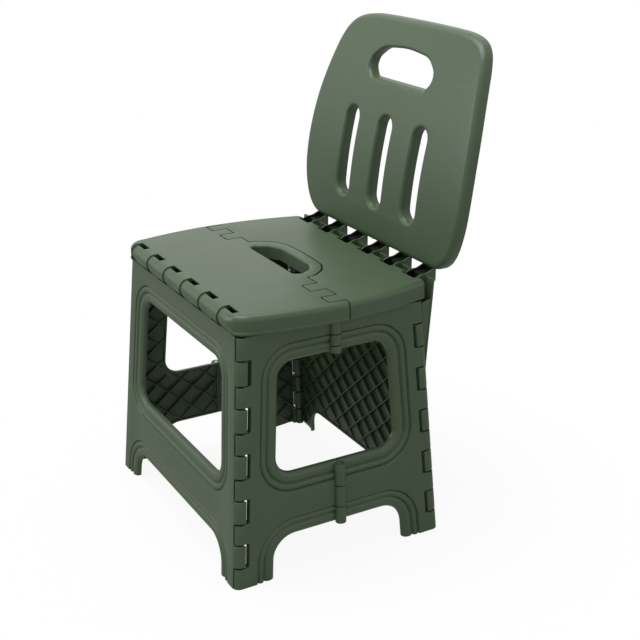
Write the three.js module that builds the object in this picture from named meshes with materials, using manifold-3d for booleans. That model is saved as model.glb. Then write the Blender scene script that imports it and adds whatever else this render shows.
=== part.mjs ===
import * as THREE from "three";
import { mergeVertices } from "three/addons/utils/BufferGeometryUtils.js";
import Module from "manifold-3d";

const wasm = await Module();
wasm.setup();

// A folding stool with a fixed back. Millimetres, +Z up, the front towards -Y. Every piece is drawn about
// the middle of the seat, and the whole is then moved so that its bounds are centred over the origin, on
// the floor. Depths are measured down from the top of the seat. A share is a plain ratio.

// The whole stool
const seatHeight = 320;
const leanShare = 0.068; // each panel leans inwards by this share of its height
const frontFace = 117.7; // middle to the outer face of the front and rear panels, at the height of the seat
const sideFace = 152.7; // middle to the outer face of the side panels, at the height of the seat
const panelDepth = 8.7; // skin and ribs of every panel
const skin = 2.5; // thickness of every panel's skin
const edgeWall = 3; // wall round the edge of every panel
const runningGap = 0.4; // between pieces that turn on each other
const seatedGap = 0.3; // between pieces that stay together
const overrun = 2; // how far a cut runs past the face it goes through
const weld = 0.0005; // vertices closer than this are one

// Pins and the eyes they run through
const rodRadius = 2;
const boreRadius = 2.5;
const eyeRadius = 5.3;

// Corner hinges: the axis lies inside both outer faces, and hooks of the front and rear panels pass round it
const cornerInset = 9;
const seamInset = 6.4; // the seam on the front face, from the side's outer face
const hookCount = 5;
const firstHook = 50.2; // depth of the top of the first hook
const hookLength = 28;
const hookPitchShare = 0.169; // of the height of the seat
const hookPitch = hookPitchShare * seatHeight;
const hookTail = 3.5; // how far a hook runs on past the axis, along the side
const hookTailWall = 3;
const slotReach = 8.5; // edge of the slot in the side panel, from the axis
const sideTop = 24.2; // depth of the top edge of the side panels

// Centre hinges of the side panels: barrels that stand out of the face
const foldProud = 0.5; // the axis, outside the outer face
const barrelRadius = 8;
const halfGap = 0.35; // from the middle to the edge of each half
const upperBarrels = [26.2, 39.6, 53, 62]; // depths of the ends of the upper barrels
const lowerBarrelShares = [0.6125, 0.7, 0.78125, 0.85];
const lowerBarrels = lowerBarrelShares.map((share) => share * seatHeight);

// Front and rear panels
const frontTop = 20.5;
const frontStile = 43.8; // window to the side's outer face
const frontWindowTop = 63;
const frontWindowShare = 0.6375; // the depth of its lower edge, of the height of the seat
const frontWindowBottom = frontWindowShare * seatHeight;
const windowRound = 22;
const frontArchShare = 0.86875;
const frontArchTop = frontArchShare * seatHeight;
const frontLeg = 42;
const archRound = 30;

// Side panels
const sideStile = 49.8;
const sideWindowTop = 60;
const sideWindowShare = 0.60625;
const sideWindowBottom = sideWindowShare * seatHeight;
const sideArchShare = 0.8375;
const sideArchTop = sideArchShare * seatHeight;
const sideLeg = 48.6;

// Moulding round the windows and the arches: two steps down towards the opening
const mouldingWide = 21;
const mouldingNarrow = 10;
const mouldingStep = 1.1;
const mouldingBacking = 5;

// Diagonal ribs behind every panel
const cellWide = 46;
const cellTall = 62;
const ribThickness = 1.8;
const cellKeepShare = 0.45; // a cell cut smaller than this share stays solid

// Seat
const seatReach = 124.5; // middle to the front and rear edges
const seatHalfWide = 169;
const seatEndWide = 157; // half width where the corners start
const seatCornerReach = 100.5;
const seatCornerWide = 25;
const seatRearCornerReach = 114; // the rear corners are sharper than the front ones
const seatRearCornerWide = 9;
const seatSkin = 3;
const skirtDepth = 21;
const skirtWall = 3;
const edgeRound = 7; // along the top edge of the sides
const knucklePitch = 50;
const knuckleCount = 6;
const notchHalf = 12.2;
const knuckleHalf = 11.6;
const notchSkin = 2;
const seatRibDepth = 17;
const seatRibPitch = 40;
const seatRibCount = 7;
const seatRibClear = 17; // ribs stay this far from the middle
const seatRibReach = 98;

// Seat pins
const edgeRadius = 11.5; // round front and rear edges
const frontRodReach = 113;
const frontRodDepth = 11.5;
const frontNotchReach = 108;
const frontKnuckleRadius = 10.6;
const frontKnuckleLip = 1.7; // the knuckle's outer wall stops this far in front of the pin
const frontKnuckleHeelShare = 0.625; // where its outer wall meets the panel, of its radius
const rearRodReach = 110.5;
const rearRodDepth = 8;
const rearNotchReach = 114.6;
const rearSweepRadius = 16.6; // what the rear edge clears as it turns
const rodEnd = 139; // half length of the front and rear pins

// Seam between the halves of the seat
const fingerReach = 10;
const seamGap = 0.8;
const fingerStart = 76.5;
const fingerPitch = 21.5;
const seamEnd = 11; // where the seam meets the side edge

// Handle loop of the front half
const handleReach = 48;
const handleShoulder = 30;
const handleHalfWide = 75;
const handleTopHalf = 40;
const slotFront = 2;
const slotRear = 33.5;
const slotHalfWide = 57;
const slotTopHalf = 37;
const slotSide = 14;
const handleDepth = 17;
const slotRound = 5;
const handleRound = 12;

// Centre hinge of the seat
const seatHingeReach = 0.58;
const seatHingeDepth = 22.15;
const hingeStart = 78.5;
const hingePitch = 11.4;
const hingeSlots = 5; // eyes of the front half and hooks of the rear half, by turns
const hingeEyeRadius = 5;
const hingeRoot = 15; // the webs of the hinge end this far from the middle
const hingeWeb = 6; // their depth there

// Back
const flareStart = 100; // depth where the rear panel starts to flare
const flareTop = 10;
const flareReach = 15;
const flareSkin = 2.5;
const flareRib = 1.8;
const flareRibOffset = 13.8;
const backFootReach = 143.15;
const backThickness = 15;
const backTop = 269.5;
const backBottom = 3.5;
const backSlopeShare = -0.007;
const backCurveLength = 1160; // the front face moves back by height squared over this
const backSkin = 3;
const backSteps = 10;
const backFront = 5; // the outline is this much smaller at the front face
const backFrontStep = 3;
const gripBottom = 195;
const gripTop = 235;
const gripSide = 212;
const gripHalf = 73;
const gripLowHalf = 57;
const gripTopHalf = 42;
const gripRound = 9;
const backSlotPitch = 75;
const backSlotBottom = 44;
const backSlotTop = 158;
const backSlotWide = 30;
const backSlotWall = 3;
const backRibPitch = 66;
const backRib = 2;

// Arms that carry the back
const armHalf = 11.6;
const armWall = 2;
const armRearWall = 3;
const armFront = 119.9;
const armRear = 147;
const tongueDepth = 44;
const tongueThickness = 4;

const green = "#54634f";
const steel = "#b9bcbd";
const plastic = (color) => new THREE.MeshStandardMaterial({ color, roughness: 0.45, metalness: 0 });
const metal = () => new THREE.MeshStandardMaterial({ color: steel, roughness: 0.35, metalness: 1 });

const lean = Math.atan(leanShare);
const up = (depth) => seatHeight - depth;
const upSlope = (depth) => up(depth) / Math.cos(lean);
const spread = (face, depth) => face + leanShare * depth;
const cornerSteps = 2; // half the pieces of each rounded corner
const eyeSteps = 4; // half the sides of each eye and bore
const drumSteps = 8; // half the sides of the larger cylinders

// Solids

// A closed geometry as a solid, moved by a matrix; a mirroring matrix turns its faces round again.
function solidOf(geometry, matrix = new THREE.Matrix4()) {
  const bare = new THREE.BufferGeometry();
  bare.setAttribute("position", geometry.getAttribute("position").clone());
  bare.setIndex(geometry.index);
  bare.applyMatrix4(matrix);
  const merged = mergeVertices(bare, weld);
  const triVerts = new Uint32Array(merged.index.array);
  if (matrix.determinant() < 0) {
    for (let i = 0; i < triVerts.length; i += 3) {
      [triVerts[i], triVerts[i + 1]] = [triVerts[i + 1], triVerts[i]];
    }
  }
  const vertProperties = merged.attributes.position.array;
  return new wasm.Manifold(new wasm.Mesh({ numProp: 3, vertProperties, triVerts }));
}

function geometryOf(solid) {
  const mesh = solid.getMesh();
  const geometry = new THREE.BufferGeometry();
  geometry.setAttribute("position", new THREE.BufferAttribute(new Float32Array(mesh.vertProperties), 3));
  geometry.setIndex(new THREE.BufferAttribute(new Uint32Array(mesh.triVerts), 1));
  const flat = geometry.toNonIndexed();
  flat.computeVertexNormals();
  return flat;
}

function moved(solid, matrix) {
  return solidOf(geometryOf(solid), matrix);
}

const joined = (solids) => wasm.Manifold.union(solids);
const mirror = new THREE.Matrix4().makeScale(-1, 1, 1);

// A shape pulled from one level to another along its own normal, then moved by a matrix.
function prism(shape, from, to, matrix = new THREE.Matrix4(), steps = cornerSteps) {
  const geometry = new THREE.ExtrudeGeometry(shape, {
    depth: to - from,
    bevelEnabled: false,
    curveSegments: steps,
  });
  return solidOf(geometry.translate(0, 0, from), matrix);
}

// A shape drawn as (y, z) and pulled along X.
const alongX = new THREE.Matrix4().makeBasis(
  new THREE.Vector3(0, 1, 0),
  new THREE.Vector3(0, 0, 1),
  new THREE.Vector3(1, 0, 0),
);
// A shape drawn as (x, z) and pulled towards -Y.
const alongY = new THREE.Matrix4().makeBasis(
  new THREE.Vector3(1, 0, 0),
  new THREE.Vector3(0, 0, 1),
  new THREE.Vector3(0, -1, 0),
);

function box(from, to, matrix) {
  const size = to.map((value, i) => value - from[i]);
  const geometry = new THREE.BoxGeometry(...size);
  geometry.translate(...from.map((value, i) => value + size[i] / 2));
  return solidOf(geometry, matrix);
}

// A closed outline through points, each corner rounded by an arc of its own radius.
function outlineOf(corners) {
  const shape = new THREE.Shape();
  corners.forEach(([x, y, radius = 0], i) => {
    const point = new THREE.Vector2(x, y);
    const [beforeX, beforeY] = corners[(i + corners.length - 1) % corners.length];
    const [afterX, afterY] = corners[(i + 1) % corners.length];
    const back = new THREE.Vector2(beforeX, beforeY).sub(point).normalize();
    const on = new THREE.Vector2(afterX, afterY).sub(point).normalize();
    const half = Math.acos(THREE.MathUtils.clamp(back.dot(on), -1, 1)) / 2;
    const start = point.clone().addScaledVector(back, radius / Math.tan(half));
    if (i) shape.lineTo(start.x, start.y);
    else shape.moveTo(start.x, start.y);
    if (!radius) return;
    const middle = back.clone().add(on).normalize().multiplyScalar(radius / Math.sin(half)).add(point);
    const end = point.clone().addScaledVector(on, radius / Math.tan(half));
    const clockwise = back.cross(on) > 0;
    const angle = (p) => Math.atan2(p.y - middle.y, p.x - middle.x);
    shape.absarc(middle.x, middle.y, radius, angle(start), angle(end), clockwise);
  });
  shape.closePath();
  return shape;
}

function disc(radius, x = 0, y = 0) {
  return new THREE.Shape().absarc(x, y, radius, 0, 2 * Math.PI, false);
}

// The frame of a panel: local X across, local Y up the slope, local Z outwards from its outer face.
function panelGroup(turn, face) {
  const group = new THREE.Group();
  group.rotation.z = turn;
  const slope = new THREE.Group();
  slope.position.y = -spread(face, seatHeight);
  slope.rotation.x = Math.PI / 2 - lean;
  group.add(slope);
  group.updateMatrixWorld(true);
  return { group, slope, toLocal: slope.matrixWorld.clone().invert() };
}

// Outlines of a panel: its edge, window and arch, each a little larger or smaller than drawn.

function edgeOutline(half, top, grow) {
  const point = (side, depth) => [side * (spread(half, depth) - seamInset + grow), upSlope(depth), 0];
  const low = seatHeight + overrun;
  return [point(-1, low), point(1, low), point(1, top), point(-1, top)];
}

function windowOutline(half, stile, top, bottom, grow) {
  const across = (depth) => spread(half, depth) - stile + grow;
  const point = (side, depth) => [side * across(depth), upSlope(depth), windowRound + grow];
  return outlineOf([
    point(-1, bottom + grow),
    point(1, bottom + grow),
    point(1, top - grow),
    point(-1, top - grow),
  ]);
}

function archOutline(half, leg, top, grow) {
  const point = (side, depth, radius) => [side * (spread(half, depth) - leg + grow), upSlope(depth), radius];
  const low = seatHeight + 2 * overrun;
  return outlineOf([
    point(-1, low, 0),
    point(1, low, 0),
    point(1, top - grow, archRound + grow),
    point(-1, top - grow, archRound + grow),
  ]);
}

// Cells of the diagonal ribs that fit inside a region, cut from the inside of the panel up to its skin.
function ribCells(region, width, height) {
  const halfWide = cellWide / 2;
  const halfTall = cellTall / 2;
  const rib = ribThickness * Math.SQRT1_2;
  const cell = outlineOf([
    [-halfWide + rib, 0],
    [0, -halfTall + rib],
    [halfWide - rib, 0],
    [0, halfTall - rib],
  ]);
  const whole = prism(cell, -panelDepth - overrun, -skin);
  const kept = [];
  const columns = Math.ceil(width / halfWide);
  const rows = Math.ceil(height / halfTall);
  for (let row = 0; row <= rows; row += 1) {
    for (let column = -columns; column <= columns; column += 1) {
      if ((row + column) % 2) continue;
      const place = new THREE.Matrix4().makeTranslation(column * halfWide, row * halfTall, 0);
      const cut = moved(whole, place).intersect(region);
      if (cut.volume() > cellKeepShare * whole.volume()) kept.push(cut);
    }
  }
  return joined(kept);
}

// A plate with its openings, ribs and mouldings. Each opening is a function of how much larger it is drawn.
function ribbedPlate(half, top, openings) {
  let plate = prism(outlineOf(edgeOutline(half, top, 0)), -panelDepth, 0);
  let region = prism(outlineOf(edgeOutline(half, top + edgeWall, -eyeRadius)), -panelDepth - overrun, -skin);
  openings.forEach((opening) => {
    region = region.subtract(prism(opening(edgeWall), -panelDepth - 2 * overrun, 0));
  });
  plate = plate.subtract(ribCells(region, spread(half, seatHeight), upSlope(0)));
  openings.forEach((opening) => {
    const backing = prism(opening(mouldingWide + edgeWall), -mouldingBacking, -mouldingStep);
    plate = plate.add(backing.intersect(prism(outlineOf(edgeOutline(half, top, 0)), -panelDepth, 0)));
    plate = plate.subtract(prism(opening(mouldingWide), -mouldingStep, overrun));
    plate = plate.subtract(prism(opening(mouldingNarrow), -2 * mouldingStep, overrun));
  });
  openings.forEach((opening) => {
    plate = plate.subtract(prism(opening(0), -panelDepth - overrun, overrun));
  });
  return plate;
}

// Corner hinge

// The corner axis in a panel's frame: it leans across the panel as its edge does.
function cornerMatrix(half) {
  const reach = spread(half, seatHeight) - cornerInset * Math.cos(lean);
  return new THREE.Matrix4()
    .makeTranslation(reach, 0, -cornerInset)
    .multiply(new THREE.Matrix4().makeRotationZ(Math.atan(Math.sin(lean))))
    .multiply(alongY);
}

const alongCorner = (depth) => -upSlope(depth);

// A hook: (towards the corner, outwards), from the panel over the corner and a little way along the side.
function hookProfile() {
  const shape = new THREE.Shape();
  shape.moveTo(-slotReach, cornerInset - panelDepth);
  shape.lineTo(-eyeRadius, cornerInset - panelDepth);
  shape.absarc(0, 0, eyeRadius, Math.PI, 2 * Math.PI, false);
  shape.lineTo(cornerInset - hookTailWall, 0);
  shape.lineTo(cornerInset - hookTailWall, -hookTail);
  shape.lineTo(cornerInset, -hookTail);
  shape.absarc(0, 0, cornerInset, 0, Math.PI / 2, false);
  shape.lineTo(-slotReach, cornerInset);
  shape.holes.push(disc(boreRadius));
  return shape;
}

// A knuckle of the side panel: the rounded corner up to the seam, and an eye round the pin.
function sideKnuckleProfile() {
  const seam = cornerInset - seamInset + runningGap / 2;
  const shape = new THREE.Shape();
  shape.moveTo(-slotReach - edgeWall, cornerInset - panelDepth);
  shape.lineTo(-eyeRadius, cornerInset - panelDepth);
  shape.absarc(0, 0, eyeRadius, Math.PI, 2 * Math.PI + Math.asin(seam / eyeRadius), false);
  shape.absarc(0, 0, cornerInset, Math.asin(seam / cornerInset), Math.PI / 2, false);
  shape.lineTo(-slotReach - edgeWall, cornerInset);
  shape.holes.push(disc(boreRadius));
  return shape;
}

function hookSpans() {
  return Array.from({ length: hookCount }, (_, i) => {
    const start = firstHook + i * hookPitch;
    return [start, start + hookLength];
  });
}

// The stretches that the hooks leave free, from the top of the side panel to the floor.
function knuckleSpans() {
  const ends = hookSpans().flat();
  const low = seatHeight + overrun;
  const all = [sideTop, ...ends, low];
  const spans = [];
  for (let i = 0; i < all.length; i += 2) {
    spans.push([all[i] + (i ? runningGap : 0), all[i + 1] - (all[i + 1] === low ? 0 : runningGap)]);
  }
  return spans;
}

function cornerSpan(profile, half, [start, end]) {
  return prism(profile, alongCorner(start), alongCorner(end), cornerMatrix(half), eyeSteps);
}

const bothSides = (solid) => solid.add(moved(solid, mirror));

// What lies under the floor, in a panel's frame.
function belowFloor(toLocal) {
  const wide = 2 * seatHeight;
  return box([-wide, -wide, -wide], [wide, wide, 0], toLocal);
}

// A cylinder along X that clears the turning edge of the seat.
function sweep(reach, depth, radius, from, to, toLocal) {
  return prism(disc(radius, reach, up(depth)), from, to, toLocal.clone().multiply(alongX), drumSteps);
}

const knucklePlaces = Array.from(
  { length: knuckleCount },
  (_, i) => (i - (knuckleCount - 1) / 2) * knucklePitch,
);

// Front panel

// A knuckle of the front panel: an outer wall flush with the edge of the seat, and an eye round the pin.
function frontKnuckleProfile() {
  const y = -frontRodReach;
  const z = up(frontRodDepth);
  const root = frontRodDepth + 2 * edgeRadius;
  const inner = (depth) => -spread(frontFace, depth) + panelDepth;
  const lip = Math.acos(frontKnuckleLip / frontKnuckleRadius);
  const heel = Math.PI + Math.asin(frontKnuckleHeelShare);
  const shape = new THREE.Shape();
  shape.moveTo(inner(root), up(root));
  shape.lineTo(inner(sideTop), up(sideTop));
  shape.lineTo(y + eyeRadius, z);
  shape.absarc(y, z, eyeRadius, 0, lip, false);
  shape.absarc(y, z, frontKnuckleRadius, Math.PI - lip, heel, false);
  shape.lineTo(-spread(frontFace, root), up(root));
  shape.holes.push(disc(boreRadius, y, z));
  return shape;
}

function frontPanel(frame) {
  const openings = [
    (grow) => windowOutline(sideFace, frontStile, frontWindowTop, frontWindowBottom, grow),
    (grow) => archOutline(sideFace, frontLeg, frontArchTop, grow),
  ];
  let panel = ribbedPlate(sideFace, frontTop, openings);
  panel = panel.subtract(hingeClearance(sideFace));
  panel = panel.add(bothSides(joined(hookSpans().map((span) => cornerSpan(hookProfile(), sideFace, span)))));
  const clear = edgeRadius + seatedGap;
  const reach = [-frontRodReach, frontRodDepth, clear];
  panel = panel.subtract(sweep(...reach, -seatHeight, seatHeight, frame.toLocal));
  const place = frame.toLocal.clone().multiply(alongX);
  const knuckles = knucklePlaces.map((x) =>
    prism(frontKnuckleProfile(), x - knuckleHalf, x + knuckleHalf, place, eyeSteps),
  );
  panel = panel.add(joined(knuckles));
  return panel.subtract(belowFloor(frame.toLocal));
}

// Room along both corners for the eyes of the side panels.
function hingeClearance(half) {
  const bore = disc(eyeRadius + 2 * runningGap);
  return bothSides(cornerSpan(bore, half, [-overrun, seatHeight + 2 * overrun]));
}

// Rear panel

// The outer face of the flare behind the rear panel, by depth.
function flareFace(depth) {
  const share = (flareStart - depth) / (flareStart - flareTop);
  return spread(frontFace, depth) + flareReach * share;
}

function flareSkinProfile() {
  const shape = new THREE.Shape();
  shape.moveTo(flareFace(flareStart) - flareSkin, up(flareStart));
  shape.lineTo(flareFace(flareStart), up(flareStart));
  shape.lineTo(flareFace(flareTop), up(flareTop));
  shape.lineTo(flareFace(flareTop) - flareSkin, up(flareTop));
  shape.closePath();
  return shape;
}

// A rib from the flat plate to the middle of the flare's skin.
function flareRibProfile() {
  const inner = (depth) => spread(frontFace, depth) - skin;
  const outer = (depth) => flareFace(depth) - flareSkin / 2;
  const top = frontTop + edgeWall;
  const high = flareTop + flareRib;
  const shape = new THREE.Shape();
  shape.moveTo(inner(flareStart), up(flareStart));
  shape.lineTo(outer(flareStart), up(flareStart + flareRib));
  shape.lineTo(outer(high), up(high));
  shape.lineTo(outer(high) - flareSkin, up(high));
  shape.lineTo(inner(top), up(top));
  shape.closePath();
  return shape;
}

// A knuckle of the rear panel: an eye round the pin on a web that rises out of the plate.
function rearKnuckleProfile() {
  const y = rearRodReach;
  const z = up(rearRodDepth);
  const root = rearRodDepth + 2 * edgeRadius;
  const web = z - rearNotchReach + rearRodReach - notchSkin;
  const inner = (depth) => spread(frontFace, depth) - panelDepth;
  const shape = new THREE.Shape();
  shape.moveTo(inner(root), up(root));
  shape.lineTo(spread(frontFace, root), up(root));
  shape.lineTo(spread(frontFace, rearRodDepth + edgeRadius), up(rearRodDepth + edgeRadius));
  shape.lineTo(y + eyeRadius, web);
  shape.lineTo(y + eyeRadius, z);
  shape.absarc(y, z, eyeRadius, 0, Math.PI, false);
  shape.lineTo(y - eyeRadius, web);
  shape.lineTo(inner(sideTop), up(sideTop));
  shape.closePath();
  shape.holes.push(disc(boreRadius, y, z));
  return shape;
}

function rearPanel(frame) {
  const openings = [(grow) => archOutline(sideFace, frontLeg, frontArchTop, grow)];
  let panel = ribbedPlate(sideFace, frontTop, openings);
  panel = panel.subtract(hingeClearance(sideFace));
  panel = panel.add(bothSides(joined(hookSpans().map((span) => cornerSpan(hookProfile(), sideFace, span)))));
  const place = frame.toLocal.clone().multiply(alongX);
  const wide = spread(sideFace, 0) - seamInset - runningGap;
  const ribs = knucklePlaces.flatMap((x) => [x - flareRibOffset, x + flareRibOffset]);
  const walls = [-wide + flareRib, ...ribs, wide - flareRib].map((x) =>
    prism(flareRibProfile(), x - flareRib / 2, x + flareRib / 2, place),
  );
  panel = panel.add(joined([prism(flareSkinProfile(), -wide, wide, place), ...walls]));
  const reach = [rearRodReach, rearRodDepth, rearSweepRadius];
  panel = panel.subtract(sweep(...reach, -seatHeight, seatHeight, frame.toLocal));
  const knuckles = knucklePlaces.map((x) =>
    prism(rearKnuckleProfile(), x - knuckleHalf, x + knuckleHalf, place, eyeSteps),
  );
  panel = panel.add(joined(knuckles));
  return panel.subtract(belowFloor(frame.toLocal));
}

// Side panels

// One half of a side panel, in the side's frame; end is +1 or -1 for its end of local X.
function sideHalf(frame, end, barrels) {
  const openings = [
    (grow) => windowOutline(frontFace, sideStile, sideWindowTop, sideWindowBottom, grow),
    (grow) => archOutline(frontFace, sideLeg, sideArchTop, grow),
  ];
  let plate = ribbedPlate(frontFace, sideTop, openings);
  const far = spread(frontFace, seatHeight);
  const half = box([halfGap, -overrun, -2 * panelDepth], [2 * far, 2 * seatHeight, 2 * panelDepth]);
  plate = plate.intersect(half);
  plate = plate.subtract(slotCut());
  plate = plate.add(joined(knuckleSpans().map((span) => cornerSpan(sideKnuckleProfile(), frontFace, span))));
  plate = moved(plate, end < 0 ? mirror : new THREE.Matrix4());
  const room = barrelRadius + runningGap;
  const all = [...spansOf(upperBarrels), ...spansOf(lowerBarrels)];
  all.forEach((span, i) => {
    if (!barrels.includes(i)) plate = plate.subtract(barrel(span, room, 0));
  });
  const own = all.filter((span, i) => barrels.includes(i));
  plate = plate.add(joined(own.map((span) => barrel(span, barrelRadius, runningGap / 2))));
  const bore = barrel([0, seatHeight], boreRadius, 0);
  return plate.subtract(bore).subtract(belowFloor(frame.toLocal));
}

const spansOf = (ends) => ends.slice(1).map((end, i) => [ends[i], end]);

// A barrel of the centre hinge, along local Y.
function barrel([start, end], radius, gap) {
  const place = new THREE.Matrix4().makeTranslation(0, 0, foldProud).multiply(alongY);
  return prism(disc(radius), -upSlope(start + gap), -upSlope(end - gap), place, drumSteps);
}

// The plate stops short of the corner; the knuckles reach on from there.
function slotCut() {
  const reach = [-slotReach, -2 * cornerInset];
  const shape = outlineOf([
    [reach[0], reach[1]],
    [-reach[1], reach[1]],
    [-reach[1], -reach[1]],
    [reach[0], -reach[1]],
  ]);
  return cornerSpan(shape, frontFace, [-overrun, seatHeight + 2 * overrun]);
}

// Seat

// The seat seen from above, inset by a wall.
function seatPlan(inset) {
  const shape = new THREE.Shape();
  const reach = seatReach + overrun;
  const bow = (y) => seatHalfWide - inset - (seatHalfWide - seatEndWide) * (y / seatCornerReach) ** 2;
  const steps = 4;
  const side = [];
  for (let i = -steps; i <= steps; i += 1) {
    const y = ((i < 0 ? seatCornerReach : seatRearCornerReach) * i) / steps;
    side.push([bow(y), y]);
  }
  const across = seatEndWide - inset - seatCornerWide;
  const rearSide = side.at(-1)[0];
  const rearAcross = rearSide - seatRearCornerWide;
  shape.moveTo(-across, -reach);
  shape.lineTo(across, -reach);
  shape.quadraticCurveTo(seatEndWide - inset - edgeRound / 2, -reach, ...side[0]);
  side.slice(1).forEach(([x, y]) => shape.lineTo(x, y));
  shape.quadraticCurveTo(rearSide, reach, rearAcross, reach);
  shape.lineTo(-rearAcross, reach);
  shape.quadraticCurveTo(-rearSide, reach, -rearSide, seatRearCornerReach);
  side.toReversed().slice(1).forEach(([x, y]) => shape.lineTo(-x, y));
  shape.quadraticCurveTo(-seatEndWide + inset + edgeRound / 2, -reach, -across, -reach);
  return shape;
}

// The seat seen from the side: flat, with a round front and rear edge.
function seatProfile() {
  const centre = up(edgeRadius);
  const low = Math.asin((skirtDepth - edgeRadius) / edgeRadius);
  const shape = new THREE.Shape();
  shape.absarc(frontRodReach, centre, edgeRadius, -low, Math.PI / 2, false);
  shape.absarc(-frontRodReach, centre, edgeRadius, Math.PI / 2, Math.PI + low, false);
  shape.closePath();
  return shape;
}

// The whole seat as a shell, before it is parted: top, skirt, round edges and ribs.
function seatShell() {
  const plan = new THREE.ExtrudeGeometry(seatPlan(edgeRound), {
    depth: 2 * skirtDepth,
    bevelThickness: edgeRound,
    bevelSize: edgeRound,
    bevelSegments: 3,
    curveSegments: 2 * cornerSteps,
  });
  plan.translate(0, 0, up(edgeRound + 2 * skirtDepth));
  let shell = solidOf(plan).intersect(prism(seatProfile(), -seatHeight, seatHeight, alongX, cornerSteps));
  const hollow = prism(seatPlan(skirtWall + edgeRound / 2), up(2 * skirtDepth), up(seatSkin));
  const span = box([-seatHeight, -seatRibReach, 0], [seatHeight, seatRibReach, seatHeight]);
  shell = shell.subtract(hollow.intersect(span));
  for (let i = 0; i < seatRibCount; i += 1) {
    const x = (i - (seatRibCount - 1) / 2) * seatRibPitch;
    [-1, 1].forEach((end) => {
      const from = Math.min(end * seatRibClear, end * (seatRibReach + edgeWall));
      const to = Math.max(end * seatRibClear, end * (seatRibReach + edgeWall));
      const low = up(seatRibDepth);
      shell = shell.add(
        box([x - ribThickness / 2, from, low], [x + ribThickness / 2, to, up(seatSkin / 2)]),
      );
    });
  }
  return shell;
}

// Notches in the round edges for the knuckles of a panel; end is +1 for the rear, -1 for the front.
function notches(end, reach, rodReach, rodDepth, clear) {
  const cuts = knucklePlaces.map((x) => {
    const near = Math.min(end * reach, end * 2 * seatReach);
    const far = Math.max(end * reach, end * 2 * seatReach);
    const through = box([x - notchHalf, near, 0], [x + notchHalf, far, 2 * seatHeight]);
    const inner = Math.min(end * (rodReach - clear), end * 2 * seatReach);
    const outer = Math.max(end * (rodReach - clear), end * 2 * seatReach);
    const under = box([x - notchHalf, inner, 0], [x + notchHalf, outer, up(notchSkin)]);
    return through.add(under);
  });
  const boreEnd = rodEnd + seatedGap;
  const bore = prism(disc(boreRadius, end * rodReach, up(rodDepth)), -boreEnd, boreEnd, alongX, eyeSteps);
  return joined([...cuts, bore]);
}

// The parting line from one side edge to the other, seen from above; grow moves it to the rear.
function seamLine(grow) {
  const right = [];
  const far = 2 * seatHalfWide;
  right.push([far, seamEnd + grow]);
  for (let i = 4; i >= 1; i -= 1) {
    const x = fingerStart + i * fingerPitch;
    const outside = i % 2 ? -fingerReach : fingerReach;
    const from = i === 4 ? seamEnd : outside;
    const inside = i % 2 ? fingerReach : -fingerReach;
    const shift = i % 2 ? grow : -grow;
    right.push([x + shift, from + grow], [x + shift, inside + grow]);
  }
  right.push(
    [handleHalfWide + grow, fingerReach + grow],
    [handleHalfWide + grow, (fingerReach + handleShoulder) / 2],
    [(handleHalfWide + handleTopHalf) / 2 + grow, handleReach - handleRound / 2 + grow],
    [handleTopHalf, handleReach + grow],
  );
  const left = right.map(([x, y]) => [-x, y]).toReversed();
  return [...right, ...left];
}

function frontOfSeam(grow) {
  const far = 2 * seatHalfWide;
  const line = seamLine(grow).map(([x, y]) => [x, y, 0]);
  return outlineOf([[-far, -far], [far, -far], ...line]);
}

// The slot behind the seam that the hand goes through.
function slotOutline(grow) {
  const mid = (slotSide + slotRear) / 2;
  return outlineOf([
    [-slotHalfWide - grow, slotFront - grow, slotRound],
    [slotHalfWide + grow, slotFront - grow, slotRound],
    [slotHalfWide + grow, slotSide, slotRound],
    [(slotHalfWide + slotTopHalf) / 2 + slotRound + grow, mid, slotRound],
    [slotTopHalf, slotRear + grow, slotRound],
    [-slotTopHalf, slotRear + grow, slotRound],
    [-(slotHalfWide + slotTopHalf) / 2 - slotRound - grow, mid, slotRound],
    [-slotHalfWide - grow, slotSide, slotRound],
  ]);
}

// Places of the centre hinge along X: by turns an eye of the front half and a hook of the rear half.
function hingePlaces(first) {
  const places = [];
  for (let i = first; i < hingeSlots; i += 2) places.push(hingeStart + i * hingePitch);
  return places;
}

function hingeEyeProfile() {
  const y = seatHingeReach;
  const z = up(seatHingeDepth);
  const under = up(seatSkin + seamGap);
  const shape = new THREE.Shape();
  shape.moveTo(-hingeRoot, up(seatSkin / 2));
  shape.lineTo(-hingeRoot, under - hingeWeb);
  shape.lineTo(y - hingeEyeRadius, z + hingeEyeRadius);
  shape.absarc(y, z, hingeEyeRadius, Math.PI, (5 / 2) * Math.PI, false);
  shape.lineTo(y, under);
  shape.lineTo(-fingerReach - seamGap, under);
  shape.lineTo(-fingerReach - seamGap, up(seatSkin / 2));
  shape.holes.push(disc(boreRadius, y, z));
  return shape;
}

// A hook of the rear half: open above and behind, so that the pin can rise out of it as the seat folds.
function hingeHookProfile() {
  const y = seatHingeReach;
  const z = up(seatHingeDepth);
  const under = up(seatSkin + seamGap);
  const shape = new THREE.Shape();
  shape.moveTo(hingeRoot, up(seatSkin / 2));
  shape.lineTo(fingerReach + seamGap, up(seatSkin / 2));
  shape.lineTo(fingerReach + seamGap, under);
  shape.lineTo(y + hingeEyeRadius + edgeWall, under);
  shape.lineTo(y + hingeEyeRadius, z + hingeEyeRadius);
  shape.lineTo(y + hingeEyeRadius, z + boreRadius);
  shape.absarc(y, z, boreRadius, -Math.PI / 4, -Math.PI, true);
  shape.absarc(y, z, hingeEyeRadius, Math.PI, (7 / 4) * Math.PI, false);
  shape.lineTo(hingeRoot, under - hingeWeb);
  return shape;
}

function hingeRow(profile, first) {
  const pieces = hingePlaces(first).map((x) =>
    prism(profile, x, x + hingePitch - runningGap, alongX, eyeSteps),
  );
  return bothSides(joined(pieces));
}

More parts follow.
